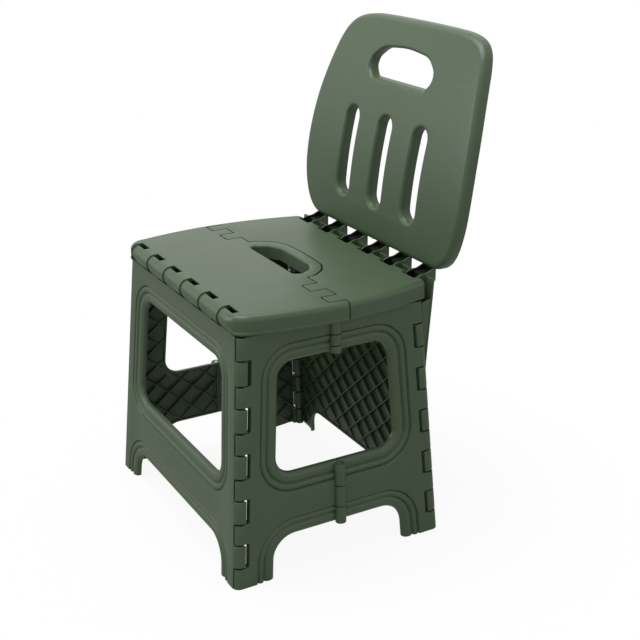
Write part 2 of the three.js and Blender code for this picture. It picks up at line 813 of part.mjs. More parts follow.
function seatHalves() {
  const whole = seatShell();
  const deep = up(2 * skirtDepth);
  const high = up(-overrun);
  const handle = prism(frontOfSeam(-seamGap / 2), up(handleDepth), up(seatSkin / 2)).intersect(
    box([-seatHeight, 0, 0], [seatHeight, seatHeight, seatHeight]),
  );
  const loop = handle.intersect(prism(outlineOf([
    [-handleHalfWide, 0],
    [handleHalfWide, 0],
    [handleHalfWide, seatReach],
    [-handleHalfWide, seatReach],
  ]), 0, seatHeight));
  let front = whole.intersect(prism(frontOfSeam(-seamGap / 2), deep, high));
  front = front.add(loop);
  front = front.add(hingeRow(hingeEyeProfile(), 0));
  front = front.subtract(prism(slotOutline(0), deep, high));
  const frontClear = edgeRadius + 2 * seatedGap;
  front = front.subtract(notches(-1, frontNotchReach, frontRodReach, frontRodDepth, frontClear));
  let rear = whole.subtract(prism(frontOfSeam(seamGap / 2), deep, high));
  rear = rear.add(hingeRow(hingeHookProfile(), 1));
  const rearClear = edgeRadius + 2 * seatedGap;
  rear = rear.subtract(notches(1, rearNotchReach, rearRodReach, rearRodDepth, rearClear));
  return { front, rear };
}

// Back

// The front face of the back: how far it lies behind its foot line, by height above the seat.
const backFace = (height) => backFootReach + backSlopeShare * height + height ** 2 / backCurveLength;

// The board seen from the side, between two offsets behind its front face.
function backStrip(near, far) {
  const heights = Array.from({ length: backSteps + 1 }, (_, i) => (backTop * i) / backSteps);
  const shape = new THREE.Shape();
  heights.forEach((h, i) => {
    if (i) shape.lineTo(backFace(h) + near, seatHeight + h);
    else shape.moveTo(backFace(h) + near, seatHeight + h);
  });
  heights.toReversed().forEach((h) => shape.lineTo(backFace(h) + far, seatHeight + h));
  shape.closePath();
  return prism(shape, -seatHeight, seatHeight, alongX);
}

// The board's outline as shares of its half width and height, from its foot to its crown.
const backWidthShares = [
  [0.82, 0.013],
  [0.9, 0.05],
  [0.955, 0.105],
  [0.99, 0.165],
  [1, 0.25],
  [0.995, 0.4],
  [0.97, 0.56],
  [0.93, 0.7],
  [0.89, 0.79],
  [0.85, 0.87],
  [0.79, 0.93],
  [0.7, 0.97],
  [0.54, 0.994],
];
const backHalfWide = 175;

function backOutline(inset) {
  const middle = backTop / 2;
  const place = ([x, z]) => {
    const wide = x * backHalfWide - inset;
    const lift = (z * backTop - middle) * (1 - inset / middle);
    return [wide, seatHeight + middle + lift];
  };
  const right = backWidthShares.map(place);
  const left = right.toReversed().map(([x, z]) => [-x, z]);
  return outlineOf([...right, ...left]);
}

function gripOutline(grow) {
  const z = (height) => seatHeight + height;
  return outlineOf([
    [-gripLowHalf - grow / 2, z(gripBottom - grow), gripRound],
    [gripLowHalf + grow / 2, z(gripBottom - grow), gripRound],
    [gripHalf + grow, z(gripSide), gripRound],
    [gripTopHalf + grow / 2, z(gripTop + grow), gripRound],
    [-gripTopHalf - grow / 2, z(gripTop + grow), gripRound],
    [-gripHalf - grow, z(gripSide), gripRound],
  ]);
}

function backSlotOutline(x, grow) {
  const half = backSlotWide / 2 + grow;
  const low = seatHeight + backSlotBottom + backSlotWide / 2;
  const high = seatHeight + backSlotTop - backSlotWide / 2;
  const shape = new THREE.Shape();
  shape.absarc(x, low, half, Math.PI, 2 * Math.PI, false);
  shape.absarc(x, high, half, 0, Math.PI, false);
  shape.closePath();
  return shape;
}

// Everything that goes through the board, as prisms along Y.
const throughBack = (shape) => prism(shape, -seatHeight, seatHeight, alongY);

function backOpenings(grow) {
  const shapes = [-1, 0, 1].map((i) => backSlotOutline(i * backSlotPitch, grow));
  return joined([gripOutline(grow), ...shapes].map(throughBack));
}

// The arm seen from the side: a tongue that seats behind the rear panel, and a shelf up to the board.
function armOutline() {
  const inside = (depth) => flareFace(depth) - flareSkin - seatedGap;
  const tongueTop = flareTop + flareSkin;
  return outlineOf([
    [armFront, up(notchSkin / 2)],
    [armFront, up(rearRodDepth + eyeRadius)],
    [inside(tongueTop) - 2 * tongueThickness, up(frontTop)],
    [inside(tongueDepth) - tongueThickness, up(tongueDepth)],
    [inside(tongueDepth), up(tongueDepth)],
    [inside(flareTop), up(flareTop)],
    [inside(flareTop), up(flareTop - seatedGap)],
    [armRear, up(edgeWall)],
    [armRear, seatHeight + flareTop],
    [armRear - 2 * edgeWall, seatHeight + flareTop],
    [armRear - edgeRadius, seatHeight + edgeWall],
    [armFront + edgeRadius, seatHeight + skin],
    [armFront + eyeRadius, seatHeight + mouldingStep],
  ]);
}

// The hollow of an arm, open to the front and above.
function armHollow() {
  const low = up(rearRodDepth + boreRadius);
  return outlineOf([
    [armFront - overrun, low],
    [armRear - armRearWall, low],
    [armRear - armRearWall, seatHeight + edgeWall],
    [armRear - edgeRadius, seatHeight + edgeWall],
    [armRear - edgeRadius, seatHeight + edgeRadius],
    [armFront - overrun, seatHeight + edgeRadius],
  ]);
}

function backrest() {
  let board = backStrip(0, backThickness).intersect(throughBack(backOutline(backFront)));
  const rear = backStrip(backFrontStep, backThickness);
  board = board.add(rear.intersect(throughBack(backOutline(0))));
  const wall = backFront + backSkin / 2;
  let pocket = backStrip(backSkin, 2 * backThickness);
  pocket = pocket.intersect(throughBack(backOutline(wall)));
  pocket = pocket.subtract(backOpenings(backSlotWall));
  const ribs = [];
  for (let height = backRibPitch; height < backTop; height += backRibPitch) {
    const z = seatHeight + height;
    ribs.push(box([-seatHeight, 0, z - backRib / 2], [seatHeight, seatHeight, z + backRib / 2]));
  }
  [-3, -1, 1, 3].forEach((i) => {
    const x = (i * backSlotPitch) / 2;
    ribs.push(box([x - backRib / 2, 0, 0], [x + backRib / 2, seatHeight, 2 * seatHeight]));
  });
  pocket = pocket.subtract(joined(ribs));
  board = board.subtract(pocket).subtract(backOpenings(0));
  const low = box([-seatHeight, 0, 0], [seatHeight, seatHeight, seatHeight + backBottom]);
  board = board.subtract(low);
  const arms = knucklePlaces.map((x) => {
    const arm = prism(armOutline(), x - armHalf, x + armHalf, alongX);
    return arm.subtract(prism(armHollow(), x - armHalf + armWall, x + armHalf - armWall, alongX));
  });
  return board.add(joined(arms));
}

// Assembly

const stool = new THREE.Group();

function addMesh(parent, name, solid, material, turn) {
  const geometry = geometryOf(solid);
  if (turn) geometry.applyMatrix4(turn);
  const mesh = new THREE.Mesh(geometry, material);
  mesh.name = name;
  parent.add(mesh);
  return mesh;
}

const frontFrame = panelGroup(0, frontFace);
const rearFrame = panelGroup(Math.PI, frontFace);
const rightFrame = panelGroup(Math.PI / 2, sideFace);
const leftFrame = panelGroup(-Math.PI / 2, sideFace);
[frontFrame, rearFrame, rightFrame, leftFrame].forEach((frame) => stool.add(frame.group));

addMesh(frontFrame.slope, "front_leg_panel", frontPanel(frontFrame), plastic(green));
addMesh(rearFrame.slope, "rear_leg_panel", rearPanel(rearFrame), plastic(green));

// Barrels are numbered from the top; each half keeps every other one.
const frontBarrels = [0, 2, 3, 5];
const rearBarrels = [1, 4];
addMesh(rightFrame.slope, "right_side_rear_half", sideHalf(rightFrame, 1, rearBarrels), plastic(green));
addMesh(rightFrame.slope, "right_side_front_half", sideHalf(rightFrame, -1, frontBarrels), plastic(green));
addMesh(leftFrame.slope, "left_side_rear_half", sideHalf(leftFrame, -1, rearBarrels), plastic(green));
addMesh(leftFrame.slope, "left_side_front_half", sideHalf(leftFrame, 1, frontBarrels), plastic(green));

const halves = seatHalves();
addMesh(stool, "seat_front_half", halves.front, plastic(green));
addMesh(stool, "seat_rear_half", halves.rear, plastic(green));
addMesh(stool, "backrest", backrest(), plastic(green));

// A pin of a length, along its own Y until it is turned.
function pin(parent, name, length) {
  const geometry = new THREE.CylinderGeometry(rodRadius, rodRadius, length, 2 * eyeSteps);
  const mesh = new THREE.Mesh(geometry, metal());
  mesh.name = name;
  parent.add(mesh);
  return mesh;
}

function seatPin(name, x, reach, depth, length) {
  const mesh = pin(stool, name, length);
  mesh.position.set(x, reach, up(depth));
  mesh.rotation.z = Math.PI / 2;
}

seatPin("front_seat_rod", 0, -frontRodReach, frontRodDepth, 2 * rodEnd);
seatPin("rear_seat_rod", 0, rearRodReach, rearRodDepth, 2 * rodEnd);
const hingeLength = hingeSlots * hingePitch - runningGap;
const hingeMiddle = hingeStart + hingeLength / 2;
seatPin("seat_centre_rod_right", hingeMiddle, seatHingeReach, seatHingeDepth, hingeLength);
seatPin("seat_centre_rod_left", -hingeMiddle, seatHingeReach, seatHingeDepth, hingeLength);

// A pin down a corner, in the frame of the front or rear panel; side is +1 or -1 for its end of local X.
function cornerPin(frame, name, side) {
  const low = seatHeight - panelDepth;
  const high = sideTop + seatedGap;
  const mesh = pin(frame.slope, name, upSlope(high) - upSlope(low));
  const slant = Math.sin(lean);
  const middle = (upSlope(high) + upSlope(low)) / 2;
  const reach = spread(sideFace, seatHeight) - cornerInset * Math.cos(lean) - slant * middle;
  mesh.position.set(side * reach, middle, -cornerInset);
  mesh.rotation.z = side * Math.atan(slant);
}

cornerPin(frontFrame, "front_right_corner_rod", 1);
cornerPin(frontFrame, "front_left_corner_rod", -1);
cornerPin(rearFrame, "rear_right_corner_rod", -1);
cornerPin(rearFrame, "rear_left_corner_rod", 1);

// A pin through one group of centre barrels of a side.
function sidePin(frame, name, ends) {
  const high = upSlope(ends[0] + seatedGap);
  const low = upSlope(ends.at(-1) - seatedGap);
  const mesh = pin(frame.slope, name, high - low);
  mesh.position.set(0, (high + low) / 2, foldProud);
}

sidePin(rightFrame, "right_side_rod_upper", upperBarrels);
sidePin(rightFrame, "right_side_rod_lower", lowerBarrels);
sidePin(leftFrame, "left_side_rod_upper", upperBarrels);
sidePin(leftFrame, "left_side_rod_lower", lowerBarrels);

const middle = new THREE.Box3().setFromObject(stool, true).getCenter(new THREE.Vector3());
stool.position.set(-middle.x, -middle.y, 0);

export default stool;
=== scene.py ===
import math
import bmesh
import bpy
import numpy as np
from mathutils import Matrix, Vector
from mathutils.geometry import delaunay_2d_cdt


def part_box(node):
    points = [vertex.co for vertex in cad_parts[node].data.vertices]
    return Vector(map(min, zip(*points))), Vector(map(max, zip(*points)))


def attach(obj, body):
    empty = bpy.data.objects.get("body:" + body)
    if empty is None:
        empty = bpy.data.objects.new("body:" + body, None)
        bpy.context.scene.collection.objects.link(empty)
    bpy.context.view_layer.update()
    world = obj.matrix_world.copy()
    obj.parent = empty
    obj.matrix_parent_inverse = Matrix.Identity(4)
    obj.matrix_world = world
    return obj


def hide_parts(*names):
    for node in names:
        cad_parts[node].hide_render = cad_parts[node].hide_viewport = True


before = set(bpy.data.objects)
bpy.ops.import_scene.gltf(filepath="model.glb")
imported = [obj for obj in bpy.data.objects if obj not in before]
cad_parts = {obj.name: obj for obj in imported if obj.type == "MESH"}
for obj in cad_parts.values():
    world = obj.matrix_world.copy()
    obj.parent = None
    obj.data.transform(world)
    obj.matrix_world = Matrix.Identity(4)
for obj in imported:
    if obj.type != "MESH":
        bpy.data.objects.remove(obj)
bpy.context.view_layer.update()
print("frame loaded")

# Sizes are in millimetres about the middle of the seat, as the solids were drawn, and become metres at the end.
# Depths are measured down from the top of the seat.
stool = {
    "seatHeight": 320.0,
    "leanShare": 0.068,  # how far a panel leans out for each millimetre down
    "frontFace": 117.7,  # reach of the front and rear faces at the seat's top
    "sideFace": 152.7,
    "panelDepth": 8.7,  # from a panel's face to the back of its rim
    "skin": 3.4,
    "wall": 2.4,
    "cornerInset": 9.0,  # from the faces to a corner's hinge line
    "seamInset": 6.4,  # from the side's face to the seam in the front
    "knucklePitch": 50.0,
    "knuckleHalf": 11.6,
    "frontRodReach": 113.0,
    "frontRodDepth": 11.5,
    "rearRodReach": 110.5,
    "rearRodDepth": 8.0,
}
seatHeight = stool["seatHeight"]
lean = math.atan(stool["leanShare"])
rodLow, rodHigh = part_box("rear_seat_rod")
shiftY = 500 * (rodLow.y + rodHigh.y) - stool["rearRodReach"]  # from the drawing's middle to the frame's
knucklePlaces = (np.arange(6) - 2.5) * stool["knucklePitch"]


# The height of a depth, straight up and along a panel's slope.
def up(depth):
    return seatHeight - depth


def upSlope(depth):
    return up(depth) / math.cos(lean)


# The reach of a leaning face at a depth: its reach at the top plus the lean's share of the depth.
def spread(face, depth):
    return face + stool["leanShare"] * depth


# Meshes

# Gathers grids and flat faces in millimetres and makes them one mesh in metres.
class Shell:
    def __init__(self):
        self.points = []
        self.faces = []
        self.count = 0

    def add(self, points, faces):
        self.points.append(points)
        self.faces.append(np.asarray(faces) + self.count)
        self.count += len(points)

    # A grid of rows; each row of points closes on itself.
    def grid(self, points):
        rows, columns = points.shape[:2]
        index = np.arange(rows * columns).reshape(rows, columns)
        beside = np.roll(index, -1, axis=1)
        quads = np.stack([index[:-1], beside[:-1], beside[1:], index[1:]], axis=-1)
        self.add(points.reshape(-1, 3), quads.reshape(-1, 4))

    # A flat face at one level, inside the first loop and outside the others.
    def flat(self, loops):
        points = np.concatenate(loops)
        ends = np.cumsum([len(loop) for loop in loops])
        rings = [list(range(end - len(loop), end)) for loop, end in zip(loops, ends)]
        made = delaunay_2d_cdt(points[:, :2].tolist(), [], rings, 2, 1e-5)
        corners = np.array(made[0], float)
        levels = np.full((len(corners), 1), points[0, 2])
        self.add(np.concatenate([corners, levels], axis=1), np.array(made[2], int))

    # Grids with flat faces over their first and last rows: the first ring is the rim, the others go round holes.
    def closed(self, rings):
        for ring in rings:
            self.grid(ring)
        self.flat([ring[0] for ring in rings])
        self.flat([ring[-1] for ring in rings])

    # Joins another shell, moved by a matrix.
    def join(self, other, matrix=None):
        points = np.concatenate(other.points)
        if matrix is not None:
            points = points @ matrix[:3, :3].T + matrix[:3, 3]
        self.faces.extend(faces + self.count for faces in other.faces)
        self.points.append(points)
        self.count += len(points)


# A Blender mesh from an array of points and a list of arrays of faces.
def newMesh(name, points, faces):
    mesh = bpy.data.meshes.new(name)
    mesh.from_pydata(points.tolist(), [], [face for block in faces for face in block.tolist()])
    return mesh


# Changes a shell as a bmesh, once points nearer than 0.004 mm have become one.
def changed(shell, change):
    mesh = newMesh("changed", np.concatenate(shell.points), shell.faces)
    work = bmesh.new()
    work.from_mesh(mesh)
    bmesh.ops.remove_doubles(work, verts=work.verts, dist=0.004)
    change(work)
    work.to_mesh(mesh)
    work.free()
    places = np.empty(len(mesh.vertices) * 3)
    mesh.vertices.foreach_get("co", places)
    byCount = {}
    for polygon in mesh.polygons:
        byCount.setdefault(len(polygon.vertices), []).append(list(polygon.vertices))
    made = Shell()
    made.points = [places.reshape(-1, 3)]
    made.faces = [np.array(faces) for faces in byCount.values()]
    made.count = len(mesh.vertices)
    bpy.data.meshes.remove(mesh)
    return made


meshFinish = {"merge": 0.00001, "shortest": 0.000005, "sharp": 38.0}  # metres, metres, degrees


# Makes a shell one closed mesh with its faces outwards and its sharp edges kept, and hands it to the frame.
def makePiece(name, shell, body, nodes, material):
    points = (np.concatenate(shell.points) + [0, shiftY, 0]) * 0.001
    mesh = newMesh(name, points, shell.faces)
    work = bmesh.new()
    work.from_mesh(mesh)
    bmesh.ops.remove_doubles(work, verts=work.verts, dist=meshFinish["merge"])
    bmesh.ops.dissolve_degenerate(work, edges=work.edges, dist=meshFinish["shortest"])
    bmesh.ops.recalc_face_normals(work, faces=work.faces)
    work.to_mesh(mesh)
    work.free()
    mesh.shade_smooth()
    mesh.set_sharp_from_angle(angle=math.radians(meshFinish["sharp"]))
    piece = bpy.data.objects.new(name, mesh)
    bpy.context.scene.collection.objects.link(piece)
    mesh.materials.append(material)
    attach(piece, body)
    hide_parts(*nodes)
    print("piece", name, len(mesh.polygons), "faces")


# Matrices that turn about an axis and that move.
def turning(angle, axis):
    return np.array(Matrix.Rotation(angle, 4, axis))


def shifting(x, y, z):
    return np.array(Matrix.Translation((x, y, z)))


# Profiles drawn as (y, z) and pulled along X, and drawn as (x, z) and pulled towards -Y.
alongX = np.array([[0, 0, 1, 0], [1, 0, 0, 0], [0, 1, 0, 0], [0, 0, 0, 1]], float)
alongY = np.array([[1, 0, 0, 0], [0, 0, -1, 0], [0, 1, 0, 0], [0, 0, 0, 1]], float)
mirror = np.diag([-1.0, 1, 1, 1])


# The frame of a panel: X across, Y up its slope, Z out of its face.
def panelMatrix(turn, face):
    foot = shifting(0, -spread(face, seatHeight), 0)
    return turning(turn, "Z") @ foot @ turning(math.pi / 2 - lean, "X")


# Straight lines between corners (x, y, radius), where each corner is an arc that touches both its lines.
def roundedLoop(corners, pieces=9):
    loop = []
    for i, (x, y, radius) in enumerate(corners):
        here = np.array([x, y], float)
        if radius == 0:
            loop.append(here[None])
            continue
        back = np.array(corners[i - 1][:2], float) - here
        ahead = np.array(corners[(i + 1) % len(corners)][:2], float) - here
        back /= np.linalg.norm(back)
        ahead /= np.linalg.norm(ahead)
        half = math.acos(np.clip(back @ ahead, -1, 1)) / 2
        middle = here + (back + ahead) / np.linalg.norm(back + ahead) * radius / math.sin(half)
        start = here + back * radius / math.tan(half) - middle
        side = np.sign(back[1] * ahead[0] - back[0] * ahead[1])
        angles = side * (math.pi - 2 * half) * np.linspace(0, 1, pieces)
        sweep = [start[0] * np.cos(angles) - start[1] * np.sin(angles),
                 start[0] * np.sin(angles) + start[1] * np.cos(angles)]
        loop.append(middle + np.stack(sweep, axis=1))
    return np.concatenate(loop)


# A smooth curve through points: Catmull-Rom, each stretch a cubic whose slopes come from its neighbours.
def smoothCurve(points, pieces=6):
    points = np.asarray(points, float)
    ends = np.concatenate([2 * points[:1] - points[1:2], points, 2 * points[-1:] - points[-2:-1]])
    t = np.linspace(0, 1, pieces, endpoint=False)[None, :, None]
    a, b, c, d = (ends[i:len(ends) - 3 + i, None] for i in range(4))
    curve = 0.5 * (2 * b + (c - a) * t + (2 * a - 5 * b + 4 * c - d) * t ** 2 + (3 * b - a - 3 * c + d) * t ** 3)
    return np.concatenate([curve.reshape(-1, points.shape[1]), points[-1:]])


# Moves each edge of a counter-clockwise loop outwards by its own distance, one row of distances for each row made.
# A corner goes to where its two moved edges meet: the mean distance along the mitre, and half the difference
# along the line that joins the two normals.
def movedLoops(loop, distances):
    edge = np.roll(loop, -1, axis=0) - loop
    edge /= np.linalg.norm(edge, axis=1, keepdims=True)
    normal = np.stack([edge[:, 1], -edge[:, 0]], axis=1)
    before = np.roll(normal, 1, axis=0)
    near = (normal * before).sum(1)[:, None]
    mitre = (normal + before) / (1 + near)
    across = np.where(near < 0.8, (normal - before) / np.maximum(1 - near, 1e-9), 0)
    distances = np.asarray(distances, float)
    back = np.roll(distances, 1, axis=1)
    mean, difference = (distances + back) / 2, (distances - back) / 2
    return loop + mitre * mean[..., None] + across * difference[..., None]


# Rows round a loop, from the distance outwards and the level of each point of each row.
def profiled(loop, distances, levels):
    return np.concatenate([movedLoops(loop, distances), levels[..., None]], axis=2)


# The same rows of (distance, level) all round a loop.
def carried(loop, rows):
    rows = np.repeat(np.asarray(rows, float)[:, None], len(loop), axis=1)
    return profiled(loop, rows[..., 0], rows[..., 1])


# A loop of (x, y) at one level.
def atLevel(loop, level):
    return np.concatenate([loop[:, :2], np.full((len(loop), 1), level)], axis=1)


# A quarter circle from a face down to its edge, as rows of (distance, level). Side is -1 for a rim, 1 for a hole.
def quarterRound(radius, count, side=-1):
    angle = np.linspace(0, math.pi / 2, count)
    return np.stack([side * radius * (1 - np.sin(angle)), -radius * (1 - np.cos(angle))], axis=1)


# A closed profile pulled from start to end, its ends rounded by shrinking it along a quarter circle.
def bar(profile, start, end, edge):
    inset, drop = quarterRound(edge, 4).T
    rows = np.stack([np.concatenate([inset, inset[::-1]]), np.concatenate([start - drop, end + drop[::-1]])], axis=1)
    shell = Shell()
    shell.closed([carried(profile, rows)])
    return shell


# Points on a circle about (x, y), between two angles in degrees.
def arc(x, y, radius, start, end, pieces):
    angle = np.radians(np.linspace(start, end, pieces))
    return np.stack([x + radius * np.cos(angle), y + radius * np.sin(angle)], axis=1)


# Drops repeated points and turns the loop counter-clockwise.
def counterClockwise(loop):
    loop = np.asarray(loop, float)
    loop = loop[np.linalg.norm(loop - np.roll(loop, 1, axis=0), axis=1) > 0.001]
    x, y = loop[:, 0], loop[:, 1]
    area = (x * np.roll(y, -1) - y * np.roll(x, -1)).sum()
    return loop if area > 0 else loop[::-1]


# Thin boxes between two levels along a straight line of points, one for each stretch of it that is kept.
def slabs(shell, line, across, kept, levels, shortest=0):
    change = np.flatnonzero(np.diff(np.concatenate([[False], kept, [False]]).astype(int)))
    for first, last in change.reshape(-1, 2):
        if last - first < shortest:
            continue
        start, end = line[first], line[last - 1]
        outline = np.array([start - across, end - across, end + across, start + across])
        shell.closed([np.stack([atLevel(outline, level) for level in levels])])


# Materials

# One socket of a node tree. Arithmetic on it adds Math nodes.
class Value:
    def __init__(self, tree, socket):
        self.tree = tree
        self.socket = socket

    def math(self, operation, other):
        return self.tree.node("ShaderNodeMath", {"operation": operation}, {0: self, 1: other})[0]

    def __add__(self, other):
        return self.math("ADD", other)

    def __mul__(self, other):
        return self.math("MULTIPLY", other)

    __radd__ = __add__
    __rmul__ = __mul__


# The node tree of a material or a world, emptied.
class Tree:
    def __init__(self, owner):
        owner.use_nodes = True
        self.tree = owner.node_tree
        self.tree.nodes.clear()

    # Adds a node of a type; settings are set first, then the values or links of its sockets.
    def node(self, kind, settings=None, sockets=None):
        node = self.tree.nodes.new(kind)
        for key, value in (settings or {}).items():
            setattr(node, key, value)
        for key, value in (sockets or {}).items():
            if isinstance(value, Value):
                self.tree.links.new(value.socket, node.inputs[key])
            else:
                node.inputs[key].default_value = value
        return [Value(self, output) for output in node.outputs]


# Screen colours from 0 to 255 as linear light.
def colour(red, green, blue):
    linear = [((c / 255 + 0.055) / 1.055) ** 2.4 for c in (red, green, blue)]
    return (*linear, 1.0)


greenPlastic = {
    "dark": colour(60, 77, 54),
    "light": colour(67, 85, 61),
    "patchScale": 9.0,
    "patchDetail": 3.0,
    "grainScale": 950.0,
    "grainDetail": 2.0,
    "grainHeight": 0.00004,  # metres
    "grainStrength": 0.5,
    "roughness": 0.38,
    "roughnessSpread": 0.08,
    "specular": 0.42,
}
# Painted shade: the same plastic made near-black with little sheen, for sheets set deep in the narrow hollows of the
# arms and seams, and behind the front notches, where only shade falls.
paintedShadePlastic = {**greenPlastic, "dark": colour(13, 16, 12), "light": colour(20, 24, 18), "specular": 0.15}


# Satin moulded plastic: a colour that drifts a little, a fine spark-eroded grain and uneven gloss.
def plasticMaterial(name, values):
    material = bpy.data.materials.new(name)
    tree = Tree(material)
    place = tree.node("ShaderNodeTexCoord")[3]  # Object
    patches = tree.node("ShaderNodeTexNoise", {}, {
        "Vector": place, "Scale": values["patchScale"], "Detail": values["patchDetail"]})[0]
    grain = tree.node("ShaderNodeTexNoise", {}, {
        "Vector": place, "Scale": values["grainScale"], "Detail": values["grainDetail"]})[0]
    base = tree.node("ShaderNodeMix", {"data_type": "RGBA"}, {0: patches, 6: values["dark"], 7: values["light"]})[2]
    smoothest = values["roughness"] - values["roughnessSpread"] / 2
    bump = tree.node("ShaderNodeBump", {}, {
        "Strength": values["grainStrength"], "Distance": values["grainHeight"], "Height": grain})[0]
    shader = tree.node("ShaderNodeBsdfPrincipled", {}, {
        "Base Color": base,
        "Roughness": smoothest + patches * values["roughnessSpread"],
        "Normal": bump,
        "Specular IOR Level": values["specular"],
    })[0]
    tree.node("ShaderNodeOutputMaterial", {}, {"Surface": shader})
    return material


rodSteel = {
    "dark": (0.42, 0.43, 0.44, 1.0),
    "light": (0.62, 0.63, 0.64, 1.0),
    "scale": 260.0,
    "detail": 4.0,
    "roughness": 0.34,
    "roughnessSpread": 0.12,
}


# Drawn steel wire: fine streaks of brightness and gloss.
def steelMaterial(name, values):
    material = bpy.data.materials.new(name)
    tree = Tree(material)
    place = tree.node("ShaderNodeTexCoord")[3]
    streak = tree.node("ShaderNodeTexNoise", {}, {
        "Vector": place, "Scale": values["scale"], "Detail": values["detail"]})[0]
    base = tree.node("ShaderNodeMix", {"data_type": "RGBA"}, {0: streak, 6: values["dark"], 7: values["light"]})[2]
    shader = tree.node("ShaderNodeBsdfPrincipled", {}, {
        "Base Color": base,
        "Metallic": 1.0,
        "Roughness": values["roughness"] + streak * values["roughnessSpread"],
    })[0]
    tree.node("ShaderNodeOutputMaterial", {}, {"Surface": shader})
    return material


green = plasticMaterial("satinGreenPlastic", greenPlastic)
# The near-black plastic that paints shade into hollows and seams.
paintedShade = plasticMaterial("paintedShadeGreenPlastic", paintedShadePlastic)
steel = steelMaterial("drawnSteel", rodSteel)
for name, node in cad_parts.items():
    node.data.materials.clear()
    node.data.materials.append(steel if "rod" in name else green)
print("materials made")

# Panels

# The moulding round windows and arches: distance from the opening as a share of its width, level in millimetres.
moulding = {
    "width": 21.5,
    "lip": 1.4,
    "levels": [
        (1.0, 0.0), (0.985, -0.1), (0.965, -0.9), (0.945, -1.9), (0.925, -2.4), (0.905, -2.2), (0.885, -1.6),
        (0.855, -0.95), (0.81, -0.5), (0.755, -0.3), (0.7, -0.45), (0.655, -0.9), (0.63, -1.5), (0.61, -2.3),
        (0.59, -3.1), (0.565, -3.4), (0.54, -3.1), (0.51, -2.3), (0.46, -1.6), (0.39, -1.1), (0.31, -0.95),
        (0.23, -1.15), (0.15, -1.7), (0.085, -2.6), (0.04, -3.6), (0.01, -4.7), (0.0, -5.6),
    ],
    "inner": [(0.0, -8.7), (2.4, -8.7), (2.6, -6.8), (9.0, -5.9), (19.5, -4.6), (24.0, -3.4)],
}
plate = {
    "frontStile": 43.8, "frontWindow": (63.0, 204.0), "frontLeg": 42.6, "frontArch": 279.0, "frontTop": 23.2,
    "rearTop": 24.7, "frontMargin": 9.0,
    "sideStile": 49.8, "sideWindow": (60.0, 195.5), "sideLeg": 49.4, "sideArch": 269.5, "sideTop": 23.2,
    "sideMargin": 19.0, "windowRound": 22.0, "archRound": 30.0, "edgeRound": 0.9, "topRound": 3.0,
    "halfGap": 0.35, "belowFloor": 12.0, "slotReach": 8.5, "slotRound": 1.6, "sideTrim": 0.4, "seamGap": 1.5,
    "ribStart": 3.0,  # a side's ribs stop this far from the hinge between its halves
}
hook = {
    "first": 50.2, "length": 28.0, "pitch": 54.08, "count": 5, "gap": 1.0, "trim": 0.5, "pastFloor": 4.0,
    "eye": 5.4,  # radius of the boss about the pin
    "tail": 3.0,
    "turn": 84.0,  # degrees of the round corner
    "blend": ((0.2, 0.06), (-2.5, 0.3)), "sink": 1.0,  # how the corner sinks into the face behind it
    "edge": 1.3, "knuckleEdge": 0.4, "knuckleReach": 9.6,
}


# Top and bottom depths of the hooks down a corner, and of the side's knuckles between them.
def hookSpans():
    starts = hook["first"] + np.arange(hook["count"]) * hook["pitch"]
    return [(start, start + hook["length"]) for start in starts]


def knuckleSpans():
    edges = [plate["sideTop"], *(depth for span in hookSpans() for depth in span), seatHeight + hook["pastFloor"]]
    gap = hook["gap"]
    return [(edges[i] + (gap if i else 0), edges[i + 1] - gap) for i in range(0, len(edges), 2)]


# From a fillet at the face, down the wall, round the rim and up to the inner side of the skin.
def edgeRows(radius, count):
    inner = np.array(moulding["inner"]) * [-1, 1]
    inner[:, 0] = np.maximum(inner[:, 0], -stool["wall"])
    return np.concatenate([quarterRound(radius, count), inner])


# The moulding's shares as distances from the opening's edge, then its thin back.
def mouldingRows():
    shares = np.array(moulding["levels"])
    lip = moulding["lip"]
    rows = np.stack([lip - shares[:, 0] * (moulding["width"] + lip), shares[:, 1]], axis=1)
    inner = np.array(moulding["inner"]) * [-1, 1] + [lip, 0]
    return np.concatenate([rows, inner])


# A plate from its outline: (x, y, radius, opening) for each corner, where opening says whether the edge that
# starts there is an opening's, with the moulding, or plain. Holes are loops with the moulding all round.
def plateShell(corners, holes):
    loop = []
    opening = []
    for i, (x, y, radius, isOpening) in enumerate(corners):
        before, after = corners[i - 1], corners[(i + 1) % len(corners)]
        points = roundedLoop([(*before[:2], 0), (x, y, radius), (*after[:2], 0)], 10)[1:-1]
        loop.append(points)
        opening += [isOpening and before[3]] * (len(points) - 1) + [isOpening]
    loop = np.concatenate(loop)
    opening = np.array(opening)
    wide = mouldingRows()
    plain = edgeRows(plate["edgeRound"], len(wide) - len(moulding["inner"]))
    distances = np.where(opening, wide[:, :1], plain[:, :1])
    levels = np.where(opening | np.roll(opening, 1), wide[:, 1:], plain[:, 1:])
    shell = Shell()
    shell.closed([profiled(loop, distances, levels)] + [carried(hole, wide * [-1, 1]) for hole in holes])
    return shell


# Cuts everything under the floor away and closes the cut.
def cutAtFloor(shell, toWorld):
    fromWorld = np.linalg.inv(toWorld)

    def cut(work):
        whole = work.verts[:] + work.edges[:] + work.faces[:]
        made = bmesh.ops.bisect_plane(work, geom=whole, plane_co=fromWorld[:3, 3], plane_no=-fromWorld[:3, 2],
                                      clear_outer=True, dist=0.0001)
        rim = [part for part in made["geom_cut"] if isinstance(part, bmesh.types.BMEdge)]
        bmesh.ops.triangle_fill(work, use_beauty=True, edges=rim)

    return changed(shell, cut)


# How far across a point is that lies inset from the corner, at a depth.
def acrossAt(half, inset, depth):
    return spread(half, depth) - inset


# A window's rounded outline: its sides run parallel to the plate's leaning edges, one stile away from them.
def windowLoop(half, stile, window, radius):
    top, bottom = window
    corners = [(side * acrossAt(half, stile, depth), upSlope(depth), radius)
               for side, depth in ((-1, bottom), (1, bottom), (1, top), (-1, top))]
    return roundedLoop(corners)


